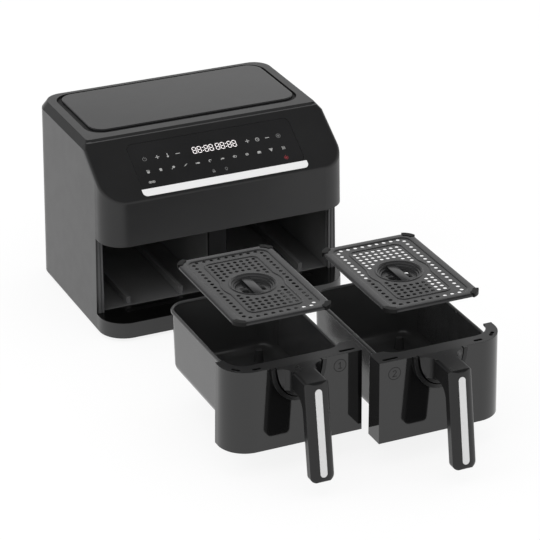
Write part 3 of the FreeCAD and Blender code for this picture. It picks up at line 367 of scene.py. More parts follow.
drawer_gloss = finish(
    "drawer_gloss", (0.007, 0.007, 0.0072), (0.045, 0.065), 700.0, 0.008, edge=0.8, mirror=0.66
)
drawer_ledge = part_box("drawer_front_left")[1][2] - DRAWER_LEDGE * MM
upper_face(drawer_gloss, drawer_ledge, (0.014, 0.014, 0.0145), 0.42)
# Painted shade: the mirror is taken out of the drawer ledge slots, where parts meet the fronts, and in
# the creases of the plates.
painted_recess_shade(drawer_gloss, DRAWER_SLOT)
painted_recess_shade(finishes["plate_coating"], PLATE_SLOT)
# Painted sheen: the lid mirrors more at the back right than at the front left, so its back looks lighter
# and its front darker.
lid_low, lid_high = (Vector(c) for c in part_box("top_panel"))
lid_back, lid_front = Vector((LID_SLANT, lid_high.y, 0.0)), Vector((-LID_SLANT, lid_low.y, 0.0))
painted_mirror_fade(finishes["top_satin"], lid_back, lid_front, LID_MIRROR_BACK, LID_MIRROR_FRONT)
base_satin = finish("base_satin", (0.032, 0.032, 0.0325), (0.32, 0.35), 1900.0, edge=0.8)
upper_face(base_satin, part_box("base_pan")[1][2] - BASE_LEDGE * MM, (0.003, 0.003, 0.003), 0.12)
bar_silver = finish(
    "bar_silver", (0.88, 0.88, 0.88), (0.32, 0.42), 1400.0, stretch=BRUSHED_X, edge=0.3, shade=0.02
)
fascia_satin = finish("fascia_satin", (0.0112, 0.0112, 0.0116), (0.40, 0.44), 1900.0, edge=0.2)
# Painted highlight: the fascia's top ledge is painted light grey, standing in for the thin line of light
# along its edge.
upper_face(fascia_satin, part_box("front_fascia")[1][2] - FASCIA_HIGHLIGHT_DROP * MM, (0.08, 0.08, 0.081), 0.35)
special = {
    "front_fascia": fascia_satin,
    "drawer_front_left": drawer_gloss,
    "drawer_front_right": drawer_gloss,
    "base_pan": base_satin,
    "trim_bar": bar_silver,
}
slot_of = {row["node"]: row["material_slot"] for row in frame["record"]["subparts"]}
for name, piece in nodes.items():
    piece.data.materials.clear()
    piece.data.materials.append(special.get(name, finishes[slot_of[name]]))
print("special finishes on", len(special), "of", len(nodes), "nodes")

# %% [markdown]
# The printed panel. Symbols on a touch panel are a thin white print on the glass, so each
# one is drawn flat, in millimetres, from strokes, rings and filled outlines, and then laid
# on the glass as a film a tenth of a millimetre thick. The plane of the glass is measured
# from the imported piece, so the print can't float above it.

# %% Plane of the glass
FACING = 0.9


def facing_plane(node, toward):
    """Place of the lower edge, normal and upward direction of the largest flat that looks one way."""
    toward = Vector(toward).normalized()
    mesh = nodes[node].data
    flats = {}
    for face in mesh.polygons:
        if face.normal.dot(toward) > FACING:
            flats.setdefault(tuple(round(c, 3) for c in face.normal), []).append(face)
    faces = max(flats.values(), key=lambda flat: sum(face.area for face in flat))
    normal = sum((f.normal * f.area for f in faces), Vector()).normalized()
    reach = max(normal.dot(mesh.vertices[f.vertices[0]].co) for f in faces)
    rise = Vector((0.0, normal.z, -normal.y))
    low = min(rise.dot(mesh.vertices[i].co) for f in faces for i in f.vertices)
    return rise * low + normal * reach, normal, rise


panel_foot, panel_normal, panel_rise = facing_plane("control_glass", (0.0, -0.55, 0.83))
print("glass leans", round(math.degrees(math.acos(panel_normal.z)), 2), "degrees")

# %% Flat drawing tools
PRINT_FILM, FILM_SUNK = 0.10, 0.02


def settled(name, work):
    """Turns finished bmesh work into a mesh."""
    mesh = bpy.data.meshes.new(name)
    work.to_mesh(mesh)
    work.free()
    return mesh


class Print:
    """Collects flat outlines in millimetres and makes them one thin film."""

    def __init__(self):
        self.shapes = []
        self.origin = (0.0, 0.0)

    def at(self, x, y):
        """Moves the origin of all that is drawn next."""
        self.origin = (x, y)
        return self

    def outline(self, points):
        self.shapes.append([(x + self.origin[0], y + self.origin[1]) for x, y in points])

    def stroke(self, points, width=0.8):
        for (x0, y0), (x1, y1) in zip(points, points[1:]):
            length = math.hypot(x1 - x0, y1 - y0)
            along = ((x1 - x0) / length * width / 2.0, (y1 - y0) / length * width / 2.0)
            side = (-along[1], along[0])
            x0, y0, x1, y1 = x0 - along[0], y0 - along[1], x1 + along[0], y1 + along[1]
            ends = ((x0, y0, -1), (x1, y1, -1), (x1, y1, 1), (x0, y0, 1))
            self.outline([(x + way * side[0], y + way * side[1]) for x, y, way in ends])

    def disc(self, x, y, radius, tall=1.0, steps=20):
        turns = [2.0 * math.pi * i / steps for i in range(steps)]
        self.outline([(x + radius * math.cos(t), y + radius * tall * math.sin(t)) for t in turns])

    def ring(self, x, y, radius, width=0.8, start=0.0, end=360.0, tall=1.0):
        steps = max(4, int((end - start) / 15.0))
        turns = [math.radians(start + (end - start) * i / steps) for i in range(steps + 1)]
        for a, b in zip(turns, turns[1:]):
            edge = []
            for angle, r in ((a, radius), (b, radius), (b, radius - width), (a, radius - width)):
                edge.append((x + r * math.cos(angle), y + r * tall * math.sin(angle)))
            self.outline(edge)

    def film(self, name, place, material, thickness=PRINT_FILM):
        """place turns (x, y, lift) in millimetres into a point of the frame."""
        work = bmesh.new()
        for shape in self.shapes:
            area = sum(a[0] * b[1] - b[0] * a[1] for a, b in zip(shape, shape[1:] + shape[:1]))
            if area < 0.0:
                shape = shape[::-1]
            low = [work.verts.new(place(x, y, -FILM_SUNK)) for x, y in shape]
            high = [work.verts.new(place(x, y, thickness - FILM_SUNK)) for x, y in shape]
            work.faces.new(high)
            work.faces.new(low[::-1])
            for i in range(len(shape)):
                k = (i + 1) % len(shape)
                work.faces.new((low[i], low[k], high[k], high[i]))
        mesh = settled(name, work)
        mesh.materials.append(material)
        return placed(name, mesh)


def on_panel(x, y, lift):
    return panel_foot + Vector((x * MM, 0.0, 0.0)) + panel_rise * (y * MM) + panel_normal * (lift * MM)


# %% [markdown]
# Three rows of symbols. The upper row has a switch and sets temperature and time, the middle
# row picks one of twelve dishes, and the lower row holds two eggs, the lock, the light and the
# red switch. They are plain kitchen pictograms, each built from a few simple outlines.

# %% Inks and signs of the controls
def ink_finish(name, colour, shade=0.05, glow=None):
    """Matt ink, in a film too thin for rounded edges."""
    return finish(name, colour, (0.4, 0.5), 1500.0, 0.02, edge=0, shade=shade, glow=glow)


white_print = ink_finish("white_print", (0.38, 0.38, 0.375), glow=(1.0, 1.0, 0.97, 0.05))
grey_print = ink_finish("grey_print", (0.16, 0.16, 0.16))
red_print = ink_finish("red_print", (0.22, 0.02, 0.028), glow=(0.9, 0.03, 0.06, 0.04))


def plus(ink):
    ink.stroke([(-2.6, 0), (2.6, 0)], 1.1)
    ink.stroke([(0, -2.6), (0, 2.6)], 1.1)


def minus(ink):
    ink.stroke([(-2.8, 0), (2.8, 0)], 1.1)


def switch_sign(ink):
    ink.ring(0, 0, 3.3, 0.8, 125.0, 415.0)
    ink.stroke([(0, 0.8), (0, 3.9)])


def red_switch(ink):
    switch_sign(ink)
    ink.disc(0, 0, 1.6)


def thermometer(ink):
    ink.disc(0, -2.0, 1.6)
    ink.stroke([(0, -1.0), (0, 3.0)], 1.2)


def clock(ink):
    ink.ring(0, 0, 3.2)
    ink.stroke([(0, 1.7), (0, 0), (1.4, -0.6)], 0.6)


def lock(ink):
    ink.outline([(-2.2, -2.6), (2.2, -2.6), (2.2, 0.6), (-2.2, 0.6)])
    ink.ring(0, 0.8, 1.7, 0.6, 0, 180.0, 1.4)


def lamp(ink):
    ink.ring(0, 0.7, 2.2, 0.7)
    ink.stroke([(-1.0, -2.2), (1.0, -2.2)])


def dial(ink):
    ink.ring(0, 0, 3.6)
    ink.disc(0, 0, 1.5)


print("inks", white_print.name, grey_print.name, red_print.name)


# %% Signs of the dishes
def chips(ink):
    ink.outline([(-1.7, -2.6), (1.7, -2.6), (2.2, 0.4), (-2.2, 0.4)])
    for step in (-1.5, 0, 1.5):
        ink.stroke([(step, 1.0), (step * 1.2, 2.8)])


def drumstick(ink):
    ink.disc(0.9, 0.8, 2.1, 0.85)
    ink.stroke([(-0.4, -0.4), (-2.6, -2.2)], 0.9)


def steak(ink):
    ink.ring(0, 0, 3.0, 0.9, tall=0.7)
    ink.disc(-0.7, 0.2, 0.9)


def fish(ink):
    ink.disc(0.5, 0, 2.5, 0.55)
    ink.outline([(-1.6, 0), (-3.4, 1.5), (-3.4, -1.5)])


def prawn(ink):
    ink.ring(0, 0, 2.6, 1.2, 20.0, 250.0)


def pizza(ink):
    ink.outline([(0, -2.7), (2.6, 1.6), (-2.6, 1.6)])
    ink.stroke([(-2.8, 2.5), (2.8, 2.5)])


def loaf(ink):
    ink.disc(0, 0.3, 3.0, 0.55)
    ink.stroke([(-2.7, -1.9), (2.7, -1.9)])


def cake(ink):
    ink.outline([(-1.5, -2.4), (1.5, -2.4), (2.1, 0), (-2.1, 0)])
    ink.disc(0, 0.9, 2.3, 0.65)


def carrot(ink):
    ink.outline([(-3.0, -1.8), (1.4, 0.2), (0.2, 1.4)])
    ink.stroke([(1.2, 1.2), (2.9, 2.2)])


def egg(ink):
    ink.ring(0, 0, 2.6, tall=0.8)
    ink.disc(0, 0, 1.0)


def leaf(ink):
    ink.disc(0.3, 0.2, 2.7, 0.45)
    ink.stroke([(-3.2, -1.2), (-1.2, -0.4)])


def warm_air(ink):
    for step in (-1.8, 0, 1.8):
        ink.stroke([(step, -2.2), (step + 0.8, 0), (step, 2.2)])


dishes = [chips, cake, drumstick, carrot, fish, prawn, leaf, steak, egg, loaf, pizza, warm_air]
print("dishes", len(dishes))

# %% Symbols on the glass
ROW_SET, ROW_DISH, ROW_MORE = 49.8, 27.6, 9.6
DISH_FIRST, DISH_LAST = -110.7, 103.9
TEMPERATURE_SIGNS = [(plus, -89.0, ROW_SET), (thermometer, -73.0, ROW_SET), (minus, -57.0, ROW_SET)]
TIME_SIGNS = [(plus, 54.0, ROW_SET), (clock, 70.0, ROW_SET), (minus, 86.0, ROW_SET)]
EGG_SIGNS = [(egg, -113.5, ROW_MORE), (egg, -108.5, ROW_MORE)]
DIM_SIGNS = [
    (switch_sign, -109.0, ROW_SET), (lock, -14.0, ROW_MORE), (lamp, 6.0, ROW_MORE), (dial, 104.0, ROW_SET)
]
RED_SIGNS = [(red_switch, 102.4, ROW_MORE + 0.8)]


def printed(name, signs, material):
    """One film of signs, each at its place on the glass."""
    ink = Print()
    for sign, x, y in signs:
        sign(ink.at(x, y))
    return ink.film(name, on_panel, material)


dish_signs = []
for index, sign in enumerate(dishes):
    x = DISH_FIRST + (DISH_LAST - DISH_FIRST) * index / (len(dishes) - 1)
    dish_signs.append((sign, x, ROW_DISH))
white_signs = TEMPERATURE_SIGNS + TIME_SIGNS + dish_signs + EGG_SIGNS
symbols = printed("panel_symbols", white_signs, white_print)
dim_symbols = printed("panel_dim_symbols", DIM_SIGNS, grey_print)
red_symbol = printed("panel_red_switch", RED_SIGNS, red_print)
for piece in (symbols, dim_symbols, red_symbol):
    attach(piece, "housing")
print("symbols", sum(len(p.data.polygons) for p in (symbols, dim_symbols, red_symbol)), "faces")

# %% [markdown]
# The display. A clock figure has seven bars of one shape, so it is a good first use of
# Geometry Nodes: the script leaves one point per lit bar with its turn, and a small tree puts
# a bar on every point. The tree has named inputs for the length and width of a bar.

# %% Tools for node trees
def geometry_tree(name, **kinds):
    """New tree with a mesh in and out and one named input of each given kind."""
    tree = bpy.data.node_groups.new(name, "GeometryNodeTree")
    tree.interface.new_socket("Geometry", in_out="INPUT", socket_type="NodeSocketGeometry")
    sockets = {}
    for key, kind in kinds.items():
        label = key.replace("_", " ")
        sockets[key] = tree.interface.new_socket(label, in_out="INPUT", socket_type="NodeSocket" + kind)
    tree.interface.new_socket("Geometry", in_out="OUTPUT", socket_type="NodeSocketGeometry")
    start, end = add(tree, "NodeGroupInput"), add(tree, "NodeGroupOutput")
    return tree, start, end, sockets


def turned_copies(tree, points, copy):
    """Puts a copy on every point, turned as the point says."""
    spread = add(tree, "GeometryNodeInstanceOnPoints")
    turn = add(tree, "GeometryNodeInputNamedAttribute", data_type="FLOAT_VECTOR", Name="turn")
    wire(
        tree,
        (points, spread.inputs["Points"]),
        (copy, spread.inputs["Instance"]),
        (turn.outputs["Attribute"], spread.inputs["Rotation"]),
    )
    return spread


def close_tree(tree, end, geometry, material, smooth=False):
    """Every tree ends alike: real geometry instead of instances, then shading and material."""
    realize = add(tree, "GeometryNodeRealizeInstances")
    shading = add(tree, "GeometryNodeSetShadeSmooth", Shade_Smooth=smooth)
    paint = add(tree, "GeometryNodeSetMaterial", Material=material)
    wire(
        tree,
        (geometry, realize.inputs[0]),
        (realize.outputs[0], shading.inputs[0]),
        (shading.outputs[0], paint.inputs[0]),
        (paint.outputs[0], end.inputs[0]),
    )


def baked(name, piece):
    """Mesh of a piece as its modifiers leave it."""
    mesh = bpy.data.meshes.new_from_object(piece.evaluated_get(bpy.context.evaluated_depsgraph_get()))
    mesh.name = name
    return mesh


def grown(name, mesh, tree, sockets, material, wall=0.0, **sizes):
    """Runs a tree on a mesh, or on a sheet of some thickness, and returns a plain mesh object."""
    seed = placed(name + "_seed", mesh)
    if wall:
        thickness = seed.modifiers.new("wall", "SOLIDIFY")
        thickness.thickness = wall * MM
        thickness.offset = -1.0
        thickness.use_even_offset = True
    modifier = seed.modifiers.new("grow", "NODES")
    modifier.node_group = tree
    for key, value in sizes.items():
        modifier[sockets[key].identifier] = value
    plain = baked(name, seed)
    bpy.data.objects.remove(seed)
    if not plain.materials:
        plain.materials.append(material)
    return placed(name, plain)


def point_mesh(name, places, turns=None):
    """Loose points, each with an optional turn for the tree to read."""
    mesh = bpy.data.meshes.new(name)
    mesh.from_pydata([tuple(p) for p in places], [], [])
    if turns:
        layer = mesh.attributes.new("turn", "FLOAT_VECTOR", "POINT")
        for index, value in enumerate(turns):
            layer.data[index].vector = value
    return mesh


# %% Lit figures
FIGURE_TALL, FIGURE_WIDE, FIGURE_LIFT = 10.6, 5.4, 0.03
BAR, BAR_SHARE, BAR_SIDES, BAR_THICK = 1.15, 0.94, 6, 0.0001
FIGURES = (-30.4, -22.6, -11.6, -3.8, 6.4, 14.2, 25.2, 33.0)
COLONS, COLON_DOT = (-17.1, 19.7), 0.75

lit_figures = ink_finish("lit_figures", (0.7, 0.66, 0.66), shade=0.03, glow=(1.0, 0.95, 0.95, 0.75))
tree, start, end, sockets = geometry_tree("clock_bars", Length="Float", Width="Float")
bar_sizes = {"Vertices": BAR_SIDES, "Radius": 0.5, "Depth": BAR_THICK}
bar = add(tree, "GeometryNodeMeshCylinder", fill_type="NGON", **bar_sizes)
size = add(tree, "ShaderNodeCombineXYZ", Z=1.0)
shape = add(tree, "GeometryNodeTransform")
wire(
    tree,
    (start.outputs["Length"], size.inputs["X"]),
    (start.outputs["Width"], size.inputs["Y"]),
    (bar.outputs["Mesh"], shape.inputs["Geometry"]),
    (size.outputs[0], shape.inputs["Scale"]),
)
copies = turned_copies(tree, start.outputs[0], shape.outputs[0])
close_tree(tree, end, copies.outputs[0], lit_figures)

lean = math.acos(panel_normal.z)
flat_turn = (lean, 0.0, 0.0)
tall_turn = tuple((Matrix.Rotation(lean, 3, "X") @ Matrix.Rotation(math.pi / 2, 3, "Z")).to_euler())
half, middle = FIGURE_TALL / 4.0, ROW_SET + 0.2
places, turns = [], []
for x in FIGURES:
    for dy in (-2.0 * half, 0.0, 2.0 * half):
        places.append(on_panel(x, middle + dy, FIGURE_LIFT))
        turns.append(flat_turn)
    for dx in (-1.0, 1.0):
        for dy in (-half, half):
            places.append(on_panel(x + dx * FIGURE_WIDE / 2.0, middle + dy, FIGURE_LIFT))
            turns.append(tall_turn)
figures = grown(
    "display_figures", point_mesh("bars", places, turns), tree, sockets, lit_figures,
    Length=FIGURE_WIDE * BAR_SHARE * MM, Width=BAR * MM,
)
ink = Print()
for x in COLONS:
    for dy in (-half, half):
        ink.disc(x, middle + dy, COLON_DOT)
colons = ink.film("display_colons", on_panel, lit_figures)
for piece in (figures, colons):
    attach(piece, "housing")
print("bars", len(places))

# %% [markdown]
# The numbered discs. Each drawer front carries a shallow ring with its number, only a shade
# darker than the plastic round it. The fronts lean by the draft of the mould, so the print
# follows the measured face.

# %% Drawer numbers
BADGE_RADIUS, BADGE_LINE, BADGE_FILM = 9.4, 1.1, 0.08
number_print = finish(
    "number_print", (0.008, 0.008, 0.008), (0.06, 0.09), 1500.0, 0.01, edge=0, mirror=0.28
)


def on_front(node, x, z):
    foot, normal, rise = facing_plane(node, (0.0, -1.0, 0.0))

    def place(u, v, lift):
        level = (z + v) * MM - foot.z
        return foot + rise * (level / rise.z) + Vector(((x + u) * MM, 0.0, 0.0)) + normal * (lift * MM)

    return place


def figure_one(ink):
    ink.stroke([(-1.6, 2.6), (0.3, 4.2), (0.3, -4.2)], 1.3)
    ink.stroke([(-1.8, -4.2), (2.4, -4.2)], 1.3)


def figure_two(ink):
    ink.ring(0.0, 1.9, 2.9, 1.3, -35.0, 170.0)
    ink.stroke([(2.0, 0.6), (-2.4, -4.2), (2.7, -4.2)], 1.3)


BADGES = (("left", -33.5, 141.2, figure_one), ("right", 23.5, 139.2, figure_two))
for word, x, z, figure in BADGES:
    ink = Print()
    ink.ring(0.0, 0.0, BADGE_RADIUS, BADGE_LINE)
    figure(ink)
    front = on_front("drawer_front_" + word, x, z)
    badge = ink.film("drawer_number_" + word, front, number_print, BADGE_FILM)
    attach(badge, "drawer_" + word)
print("numbers on", len(BADGES), "fronts")

# %% [markdown]
# The crisper plates. On the real object each is one sheet of coated metal: a raised border
# with a turned-down rim, a stamped bead that bulges round the middle, a stepped dish with a
# lifting bar, and rows of punched holes. The sheet is lofted here ring by ring from the dish
# to the rim, which keeps every bend smooth, and then gets its thickness.

# %% Tools for lofts
ARC_STEPS, SHORT_STEPS, LONG_STEPS = 8, 14, 24


def rounded_ring(half_x, half_y, radius, bulge=0.0):
    """Points round a rounded rectangle, the same number for every ring of the loft."""
    points = []
    for sx, sy, start in ((1, 1, 0), (-1, 1, 90), (-1, -1, 180), (1, -1, 270)):
        centre = Vector((sx * (half_x - radius), sy * (half_y - radius)))
        arc = [math.radians(start + 90.0 * i / ARC_STEPS) for i in range(ARC_STEPS + 1)]
        points += [centre + Vector((math.cos(a), math.sin(a))) * radius for a in arc]
        following = points[-1].copy()
        across = sx * sy > 0
        end = Vector((-following.x, following.y)) if across else Vector((following.x, -following.y))
        steps = SHORT_STEPS if across else LONG_STEPS
        points += [following.lerp(end, i / steps) for i in range(1, steps)]
    if bulge:
        points = [p * max(1.0, bulge / p.length) for p in points]
    return points


def rolled(radius, turns):
    """Inset and drop of a round edge at each turn, in degrees, from flat to upright."""
    for turn in turns:
        angle = math.radians(turn)
        yield radius * (1.0 - math.sin(angle)), radius * (1.0 - math.cos(angle))


def lofted(name, rings, closed=False):
    """Surface through the rings, in metres, with a flat middle and, if closed, a flat underside."""
    work = bmesh.new()
    loops = [[work.verts.new((p.x * MM, p.y * MM, z * MM)) for p in ring] for ring, z in rings]
    work.faces.new(loops[0])
    for low, high in zip(loops, loops[1:]):
        for i in range(len(low)):
            k = (i + 1) % len(low)
            work.faces.new((low[i], high[i], high[k], low[k]))
    if closed:
        work.faces.new(loops[-1][::-1])
    return settled(name, work)


# %% Stamped sheet
plate_low, plate_high = (Vector(c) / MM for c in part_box("crisper_plate_left"))
PLATE_X, PLATE_Y = (plate_high.x - plate_low.x) / 2.0, (plate_high.y - plate_low.y) / 2.0
SHEET, BORDER, RISE, CORNER, RIM = 0.8, 12.0, 1.1, 19.0, 2.8
EDGE_ROUND, EDGE_TURNS, PACKED_RISE = 3.6, (0, 18, 36, 54, 72, 90), 3.0
BEAD_X, BEAD_Y, BEAD_CORNER, BULGE = PLATE_X - 30.0, PLATE_Y - 25.0, 12.0, 45.0
DISH, STEP, DISH_RING = 30.0, 2.6, 33.5
DISH_FLAT = (4.0, 14.0, DISH - 2 * STEP - 1.2)
STEP_BEND = ((-0.9, 1, 0.25), (-0.6, 1, 0.7), (-0.3, 0, -0.4), (0.1, 0, -0.05))
STEP_TREAD = 0.9
BEAD_BEND = ((2.3, 0.7), (1.4, 0.95), (0.5, 0.7), (-0.1, 0.0))
DISH_BEAD_FOOT, BEAD_FOOT = (2.9, 0.0), (3.0, 0.0)
BORDER_FOOT, BORDER_TOP = ((1.0, 0.0), (0.2, 0.08), (0.0, 0.27), (0.0, 0.6)), ((0.35, 0.87), (1.4, 1.0))


def disc_ring(radius):
    return [p.normalized() * radius for p in rounded_ring(BEAD_X, BEAD_Y, BEAD_CORNER, BULGE)]


def bead_ring(inset):
    return rounded_ring(BEAD_X - inset, BEAD_Y - inset, BEAD_CORNER - inset, BULGE - inset)


def edge_ring(inset, radius):
    return rounded_ring(PLATE_X - inset, PLATE_Y - inset, radius)


def stamped_rings():
    """Rings from the middle of the dish outwards, each with its height over the field."""
    rings = [(disc_ring(radius), -3 * STEP) for radius in DISH_FLAT]
    for level in (2, 1, 0):
        edge = DISH - level * STEP
        for out, below, lift in STEP_BEND:
            rings.append((disc_ring(edge + out), -(level + below) * STEP + lift))
        if level:
            rings.append((disc_ring(edge + STEP_TREAD), -level * STEP))
    rings += [(disc_ring(DISH_RING - inset), z) for inset, z in (DISH_BEAD_FOOT, *BEAD_BEND)]
    rings += [(bead_ring(inset), z) for inset, z in (BEAD_FOOT, *BEAD_BEND)]
    inner = CORNER - BORDER / 2.0
    for inset, share in BORDER_FOOT:
        rings.append((edge_ring(BORDER + inset, inner), share * RISE))
    for inset, share in BORDER_TOP:
        rings.append((edge_ring(BORDER - inset, inner + inset), share * RISE))
    for inset, drop in rolled(EDGE_ROUND, EDGE_TURNS):
        rings.append((edge_ring(inset, CORNER - inset), RISE - drop))
    rings.append((edge_ring(0.0, CORNER), -RIM))
    return rings


sheet_mesh = lofted("plate_sheet", stamped_rings())
print("plate", round(2 * PLATE_X, 1), "x", round(2 * PLATE_Y, 1), "mm")
print("sheet", len(sheet_mesh.polygons), "faces")

# %% [markdown]
# The punched holes. A tree takes the sheet, puts a round punch on every marked point and
# subtracts all of them in one go. Two square windows beside the lifting bar are punched with
# the same stroke. Hole radius and the number of sides are named inputs.

# %% Places of the holes and windows
HOLE, HOLE_PITCH, EDGE_PITCH = 5.8, 9.2, 10.5
ROW_OUT, COLUMNS, ROWS, FIRST_ROW, DISH_CLEAR = 9.5, 8, 6, 10.0, 4.0
WINDOW_X, WINDOW_Z, WINDOW_SIZE = 11.5, -9.0, (10.0, 17.0, 8.0)


def spaced(span, pitch):
    count = int(span / pitch) + 1
    return [i * span / (count - 1) - span / 2.0 for i in range(count)]


def hole_places():
    row_x, row_y = BEAD_X + ROW_OUT, BEAD_Y + ROW_OUT
    places = [(x, sy * row_y) for x in spaced(2.0 * BEAD_X + HOLE, EDGE_PITCH) for sy in (-1, 1)]
    places += [(sx * row_x, y) for y in spaced(2.0 * BEAD_Y + HOLE, EDGE_PITCH) for sx in (-1, 1)]
    for column in range(COLUMNS):
        x = (column - (COLUMNS - 1) / 2.0) * HOLE_PITCH
        for row in range(ROWS):
            y = BEAD_Y - FIRST_ROW - row * HOLE_PITCH
            if math.hypot(x, y) > DISH_RING + DISH_CLEAR:
                places += [(x, y), (x, -y)]
    return places


def block_mesh(name, blocks, bevel=0.0):
    """Boxes given by centre and size in millimetres, with softened edges."""
    work = bmesh.new()
    for centre, size in blocks:
        place = Matrix.Translation(Vector(centre) * MM) @ Matrix.Diagonal((*[c * MM for c in size], 1.0))
        bmesh.ops.create_cube(work, size=1.0, matrix=place)
    if bevel:
        edges = work.edges[:]
        bmesh.ops.bevel(work, geom=edges, offset=bevel * MM, segments=2, affect="EDGES", profile=0.5)
    return settled(name, work)


holes = [(x * MM, y * MM, 0.0) for x, y in hole_places()]
hole_points = placed("hole_points", point_mesh("hole_points", holes))
windows = [((sx * WINDOW_X, 0.0, WINDOW_Z), WINDOW_SIZE) for sx in (-1, 1)]
window_blocks = placed("window_blocks", block_mesh("window_blocks", windows))
print("holes", len(holes), "windows", len(windows))

# %% Punch tree
PUNCH_SIDES, PUNCH_DEEP = 16, 0.006
plate_paint = finishes["plate_coating"]
tree, start, end, sockets = geometry_tree(
    "punched_sheet", Hole_Radius="Float", Sides="Int", Points="Object", Windows="Object"
)
punch = add(tree, "GeometryNodeMeshCylinder", Depth=PUNCH_DEEP)
marks, squares = (add(tree, "GeometryNodeObjectInfo") for _ in range(2))
spread = add(tree, "GeometryNodeInstanceOnPoints")
real = add(tree, "GeometryNodeRealizeInstances")
join = add(tree, "GeometryNodeJoinGeometry")
cut = add(tree, "GeometryNodeMeshBoolean", operation="DIFFERENCE", solver="EXACT")
wire(
    tree,
    (start.outputs["Hole Radius"], punch.inputs["Radius"]),
    (start.outputs["Sides"], punch.inputs["Vertices"]),
    (start.outputs["Points"], marks.inputs[0]),
    (start.outputs["Windows"], squares.inputs[0]),
    (marks.outputs["Geometry"], spread.inputs["Points"]),
    (punch.outputs["Mesh"], spread.inputs["Instance"]),
    (spread.outputs[0], real.inputs[0]),
    (real.outputs[0], join.inputs[0]),
    (squares.outputs["Geometry"], join.inputs[0]),
    (start.outputs[0], cut.inputs["Mesh 1"]),
    (join.outputs[0], cut.inputs["Mesh 2"]),
)
close_tree(tree, end, cut.outputs["Mesh"], plate_paint, smooth=True)
punched = grown(
    "punched_sheet", sheet_mesh, tree, sockets, plate_paint, wall=SHEET,
    Hole_Radius=HOLE / 2.0 * MM, Sides=PUNCH_SIDES, Points=hole_points, Windows=window_blocks,
)
for piece in (hole_points, window_blocks):
    bpy.data.objects.remove(piece)
print("punched sheet", len(punched.data.polygons), "faces")

# %% Both plates with their lifting bars
SIDES = ("left", "right")
LIFTING_BAR, LIFTING_ROUND, SHARP = (13.0, 56.4, 1.2), 0.4, 35.0


def merged(name, parts, material):
    """Joins meshes, each with its matrix, into one smooth piece with crisp edges."""
    work = bmesh.new()
    for mesh, matrix in parts:
        copy = mesh.copy()
        copy.transform(matrix)
        work.from_mesh(copy)
        bpy.data.meshes.remove(copy)
    joined = settled(name, work)
    joined.materials.clear()
    joined.materials.append(material)
    joined.shade_smooth()
    joined.set_sharp_from_angle(angle=math.radians(SHARP))
    return placed(name, joined)


bar_place = (0.0, 0.0, -STEP - LIFTING_BAR[2] / 2.0)
lifting_bar = block_mesh("lifting_bar", [(bar_place, LIFTING_BAR)], LIFTING_ROUND)
for word in SIDES:
    low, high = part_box("crisper_plate_" + word)
    field = high[2] - PACKED_RISE * MM
    place = Matrix.Translation(Vector(((low[0] + high[0]) / 2.0, (low[1] + high[1]) / 2.0, field)))
    plate = merged("stamped_plate_" + word, [(punched.data, place), (lifting_bar, place)], plate_paint)
    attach(plate, "plate_" + word)
    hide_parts("crisper_plate_" + word)
    print(plate.name, len(plate.data.polygons), "faces")
bpy.data.objects.remove(punched)

# %% [markdown]
# The corner clips. Soft clips at the corners keep a plate from scratching its basket. They are
# little taller than the thin rim that they hold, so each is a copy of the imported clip, drawn
# together in height about the field of the plate.

# %% Corner clips
CLIP_HEIGHT, WELD = 5.6, 0.001


def copied(name, node):
    """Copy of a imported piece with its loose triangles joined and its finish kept."""
    work = bmesh.new()
    work.from_mesh(nodes[node].data)
    bmesh.ops.remove_doubles(work, verts=work.verts[:], dist=WELD * MM)
    mesh = settled(name, work)
    mesh.materials.append(nodes[node].data.materials[0])
    return placed(name, mesh)


for word in SIDES:
    low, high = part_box("plate_bumpers_" + word)
    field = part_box("crisper_plate_" + word)[1][2] - PACKED_RISE * MM
    share = CLIP_HEIGHT * MM / (high[2] - low[2])
    clips = copied("corner_clips_" + word, "plate_bumpers_" + word)
    for vertex in clips.data.vertices:
        vertex.co.z = field + (vertex.co.z - field) * share
    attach(clips, "plate_" + word)
    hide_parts("plate_bumpers_" + word)
print("corner clips", CLIP_HEIGHT, "mm tall")

# %% [markdown]
# The handles. A hand closes round the front of a grip, so that front is a flat ellipse in
# section and its lower end is round. A long block of that form stands along the leaning grip,
# and the handle keeps only what lies inside the block: a Boolean modifier finds that part.

# %% Rounded handles
FRONT_DEPTH, FRONT_HALF, END_ROUND, STRIP_PROUD = 8.0, 17.6, 9.5, 0.25
FRONT_STEPS, END_STEPS, END_SPARE = 40, 10, 0.3
GRIP_DEEP, FLANGE_REACH, BLOCK_DEEP, BLOCK_LONG = 26.0, 60.0, 160.0, 260.0


def block_outline():
    """Section of the block as pairs of across and deep: an ellipse in front, wide behind."""
    arc = [math.pi * i / FRONT_STEPS for i in range(FRONT_STEPS + 1)]
    front = [(-FRONT_HALF * math.cos(a), FRONT_DEPTH * (1.0 - math.sin(a))) for a in arc]
    behind = [(FRONT_HALF, GRIP_DEEP), (FLANGE_REACH, GRIP_DEEP), (FLANGE_REACH, BLOCK_DEEP)]
    return front + behind + [(-x, deep) for x, deep in reversed(behind)]


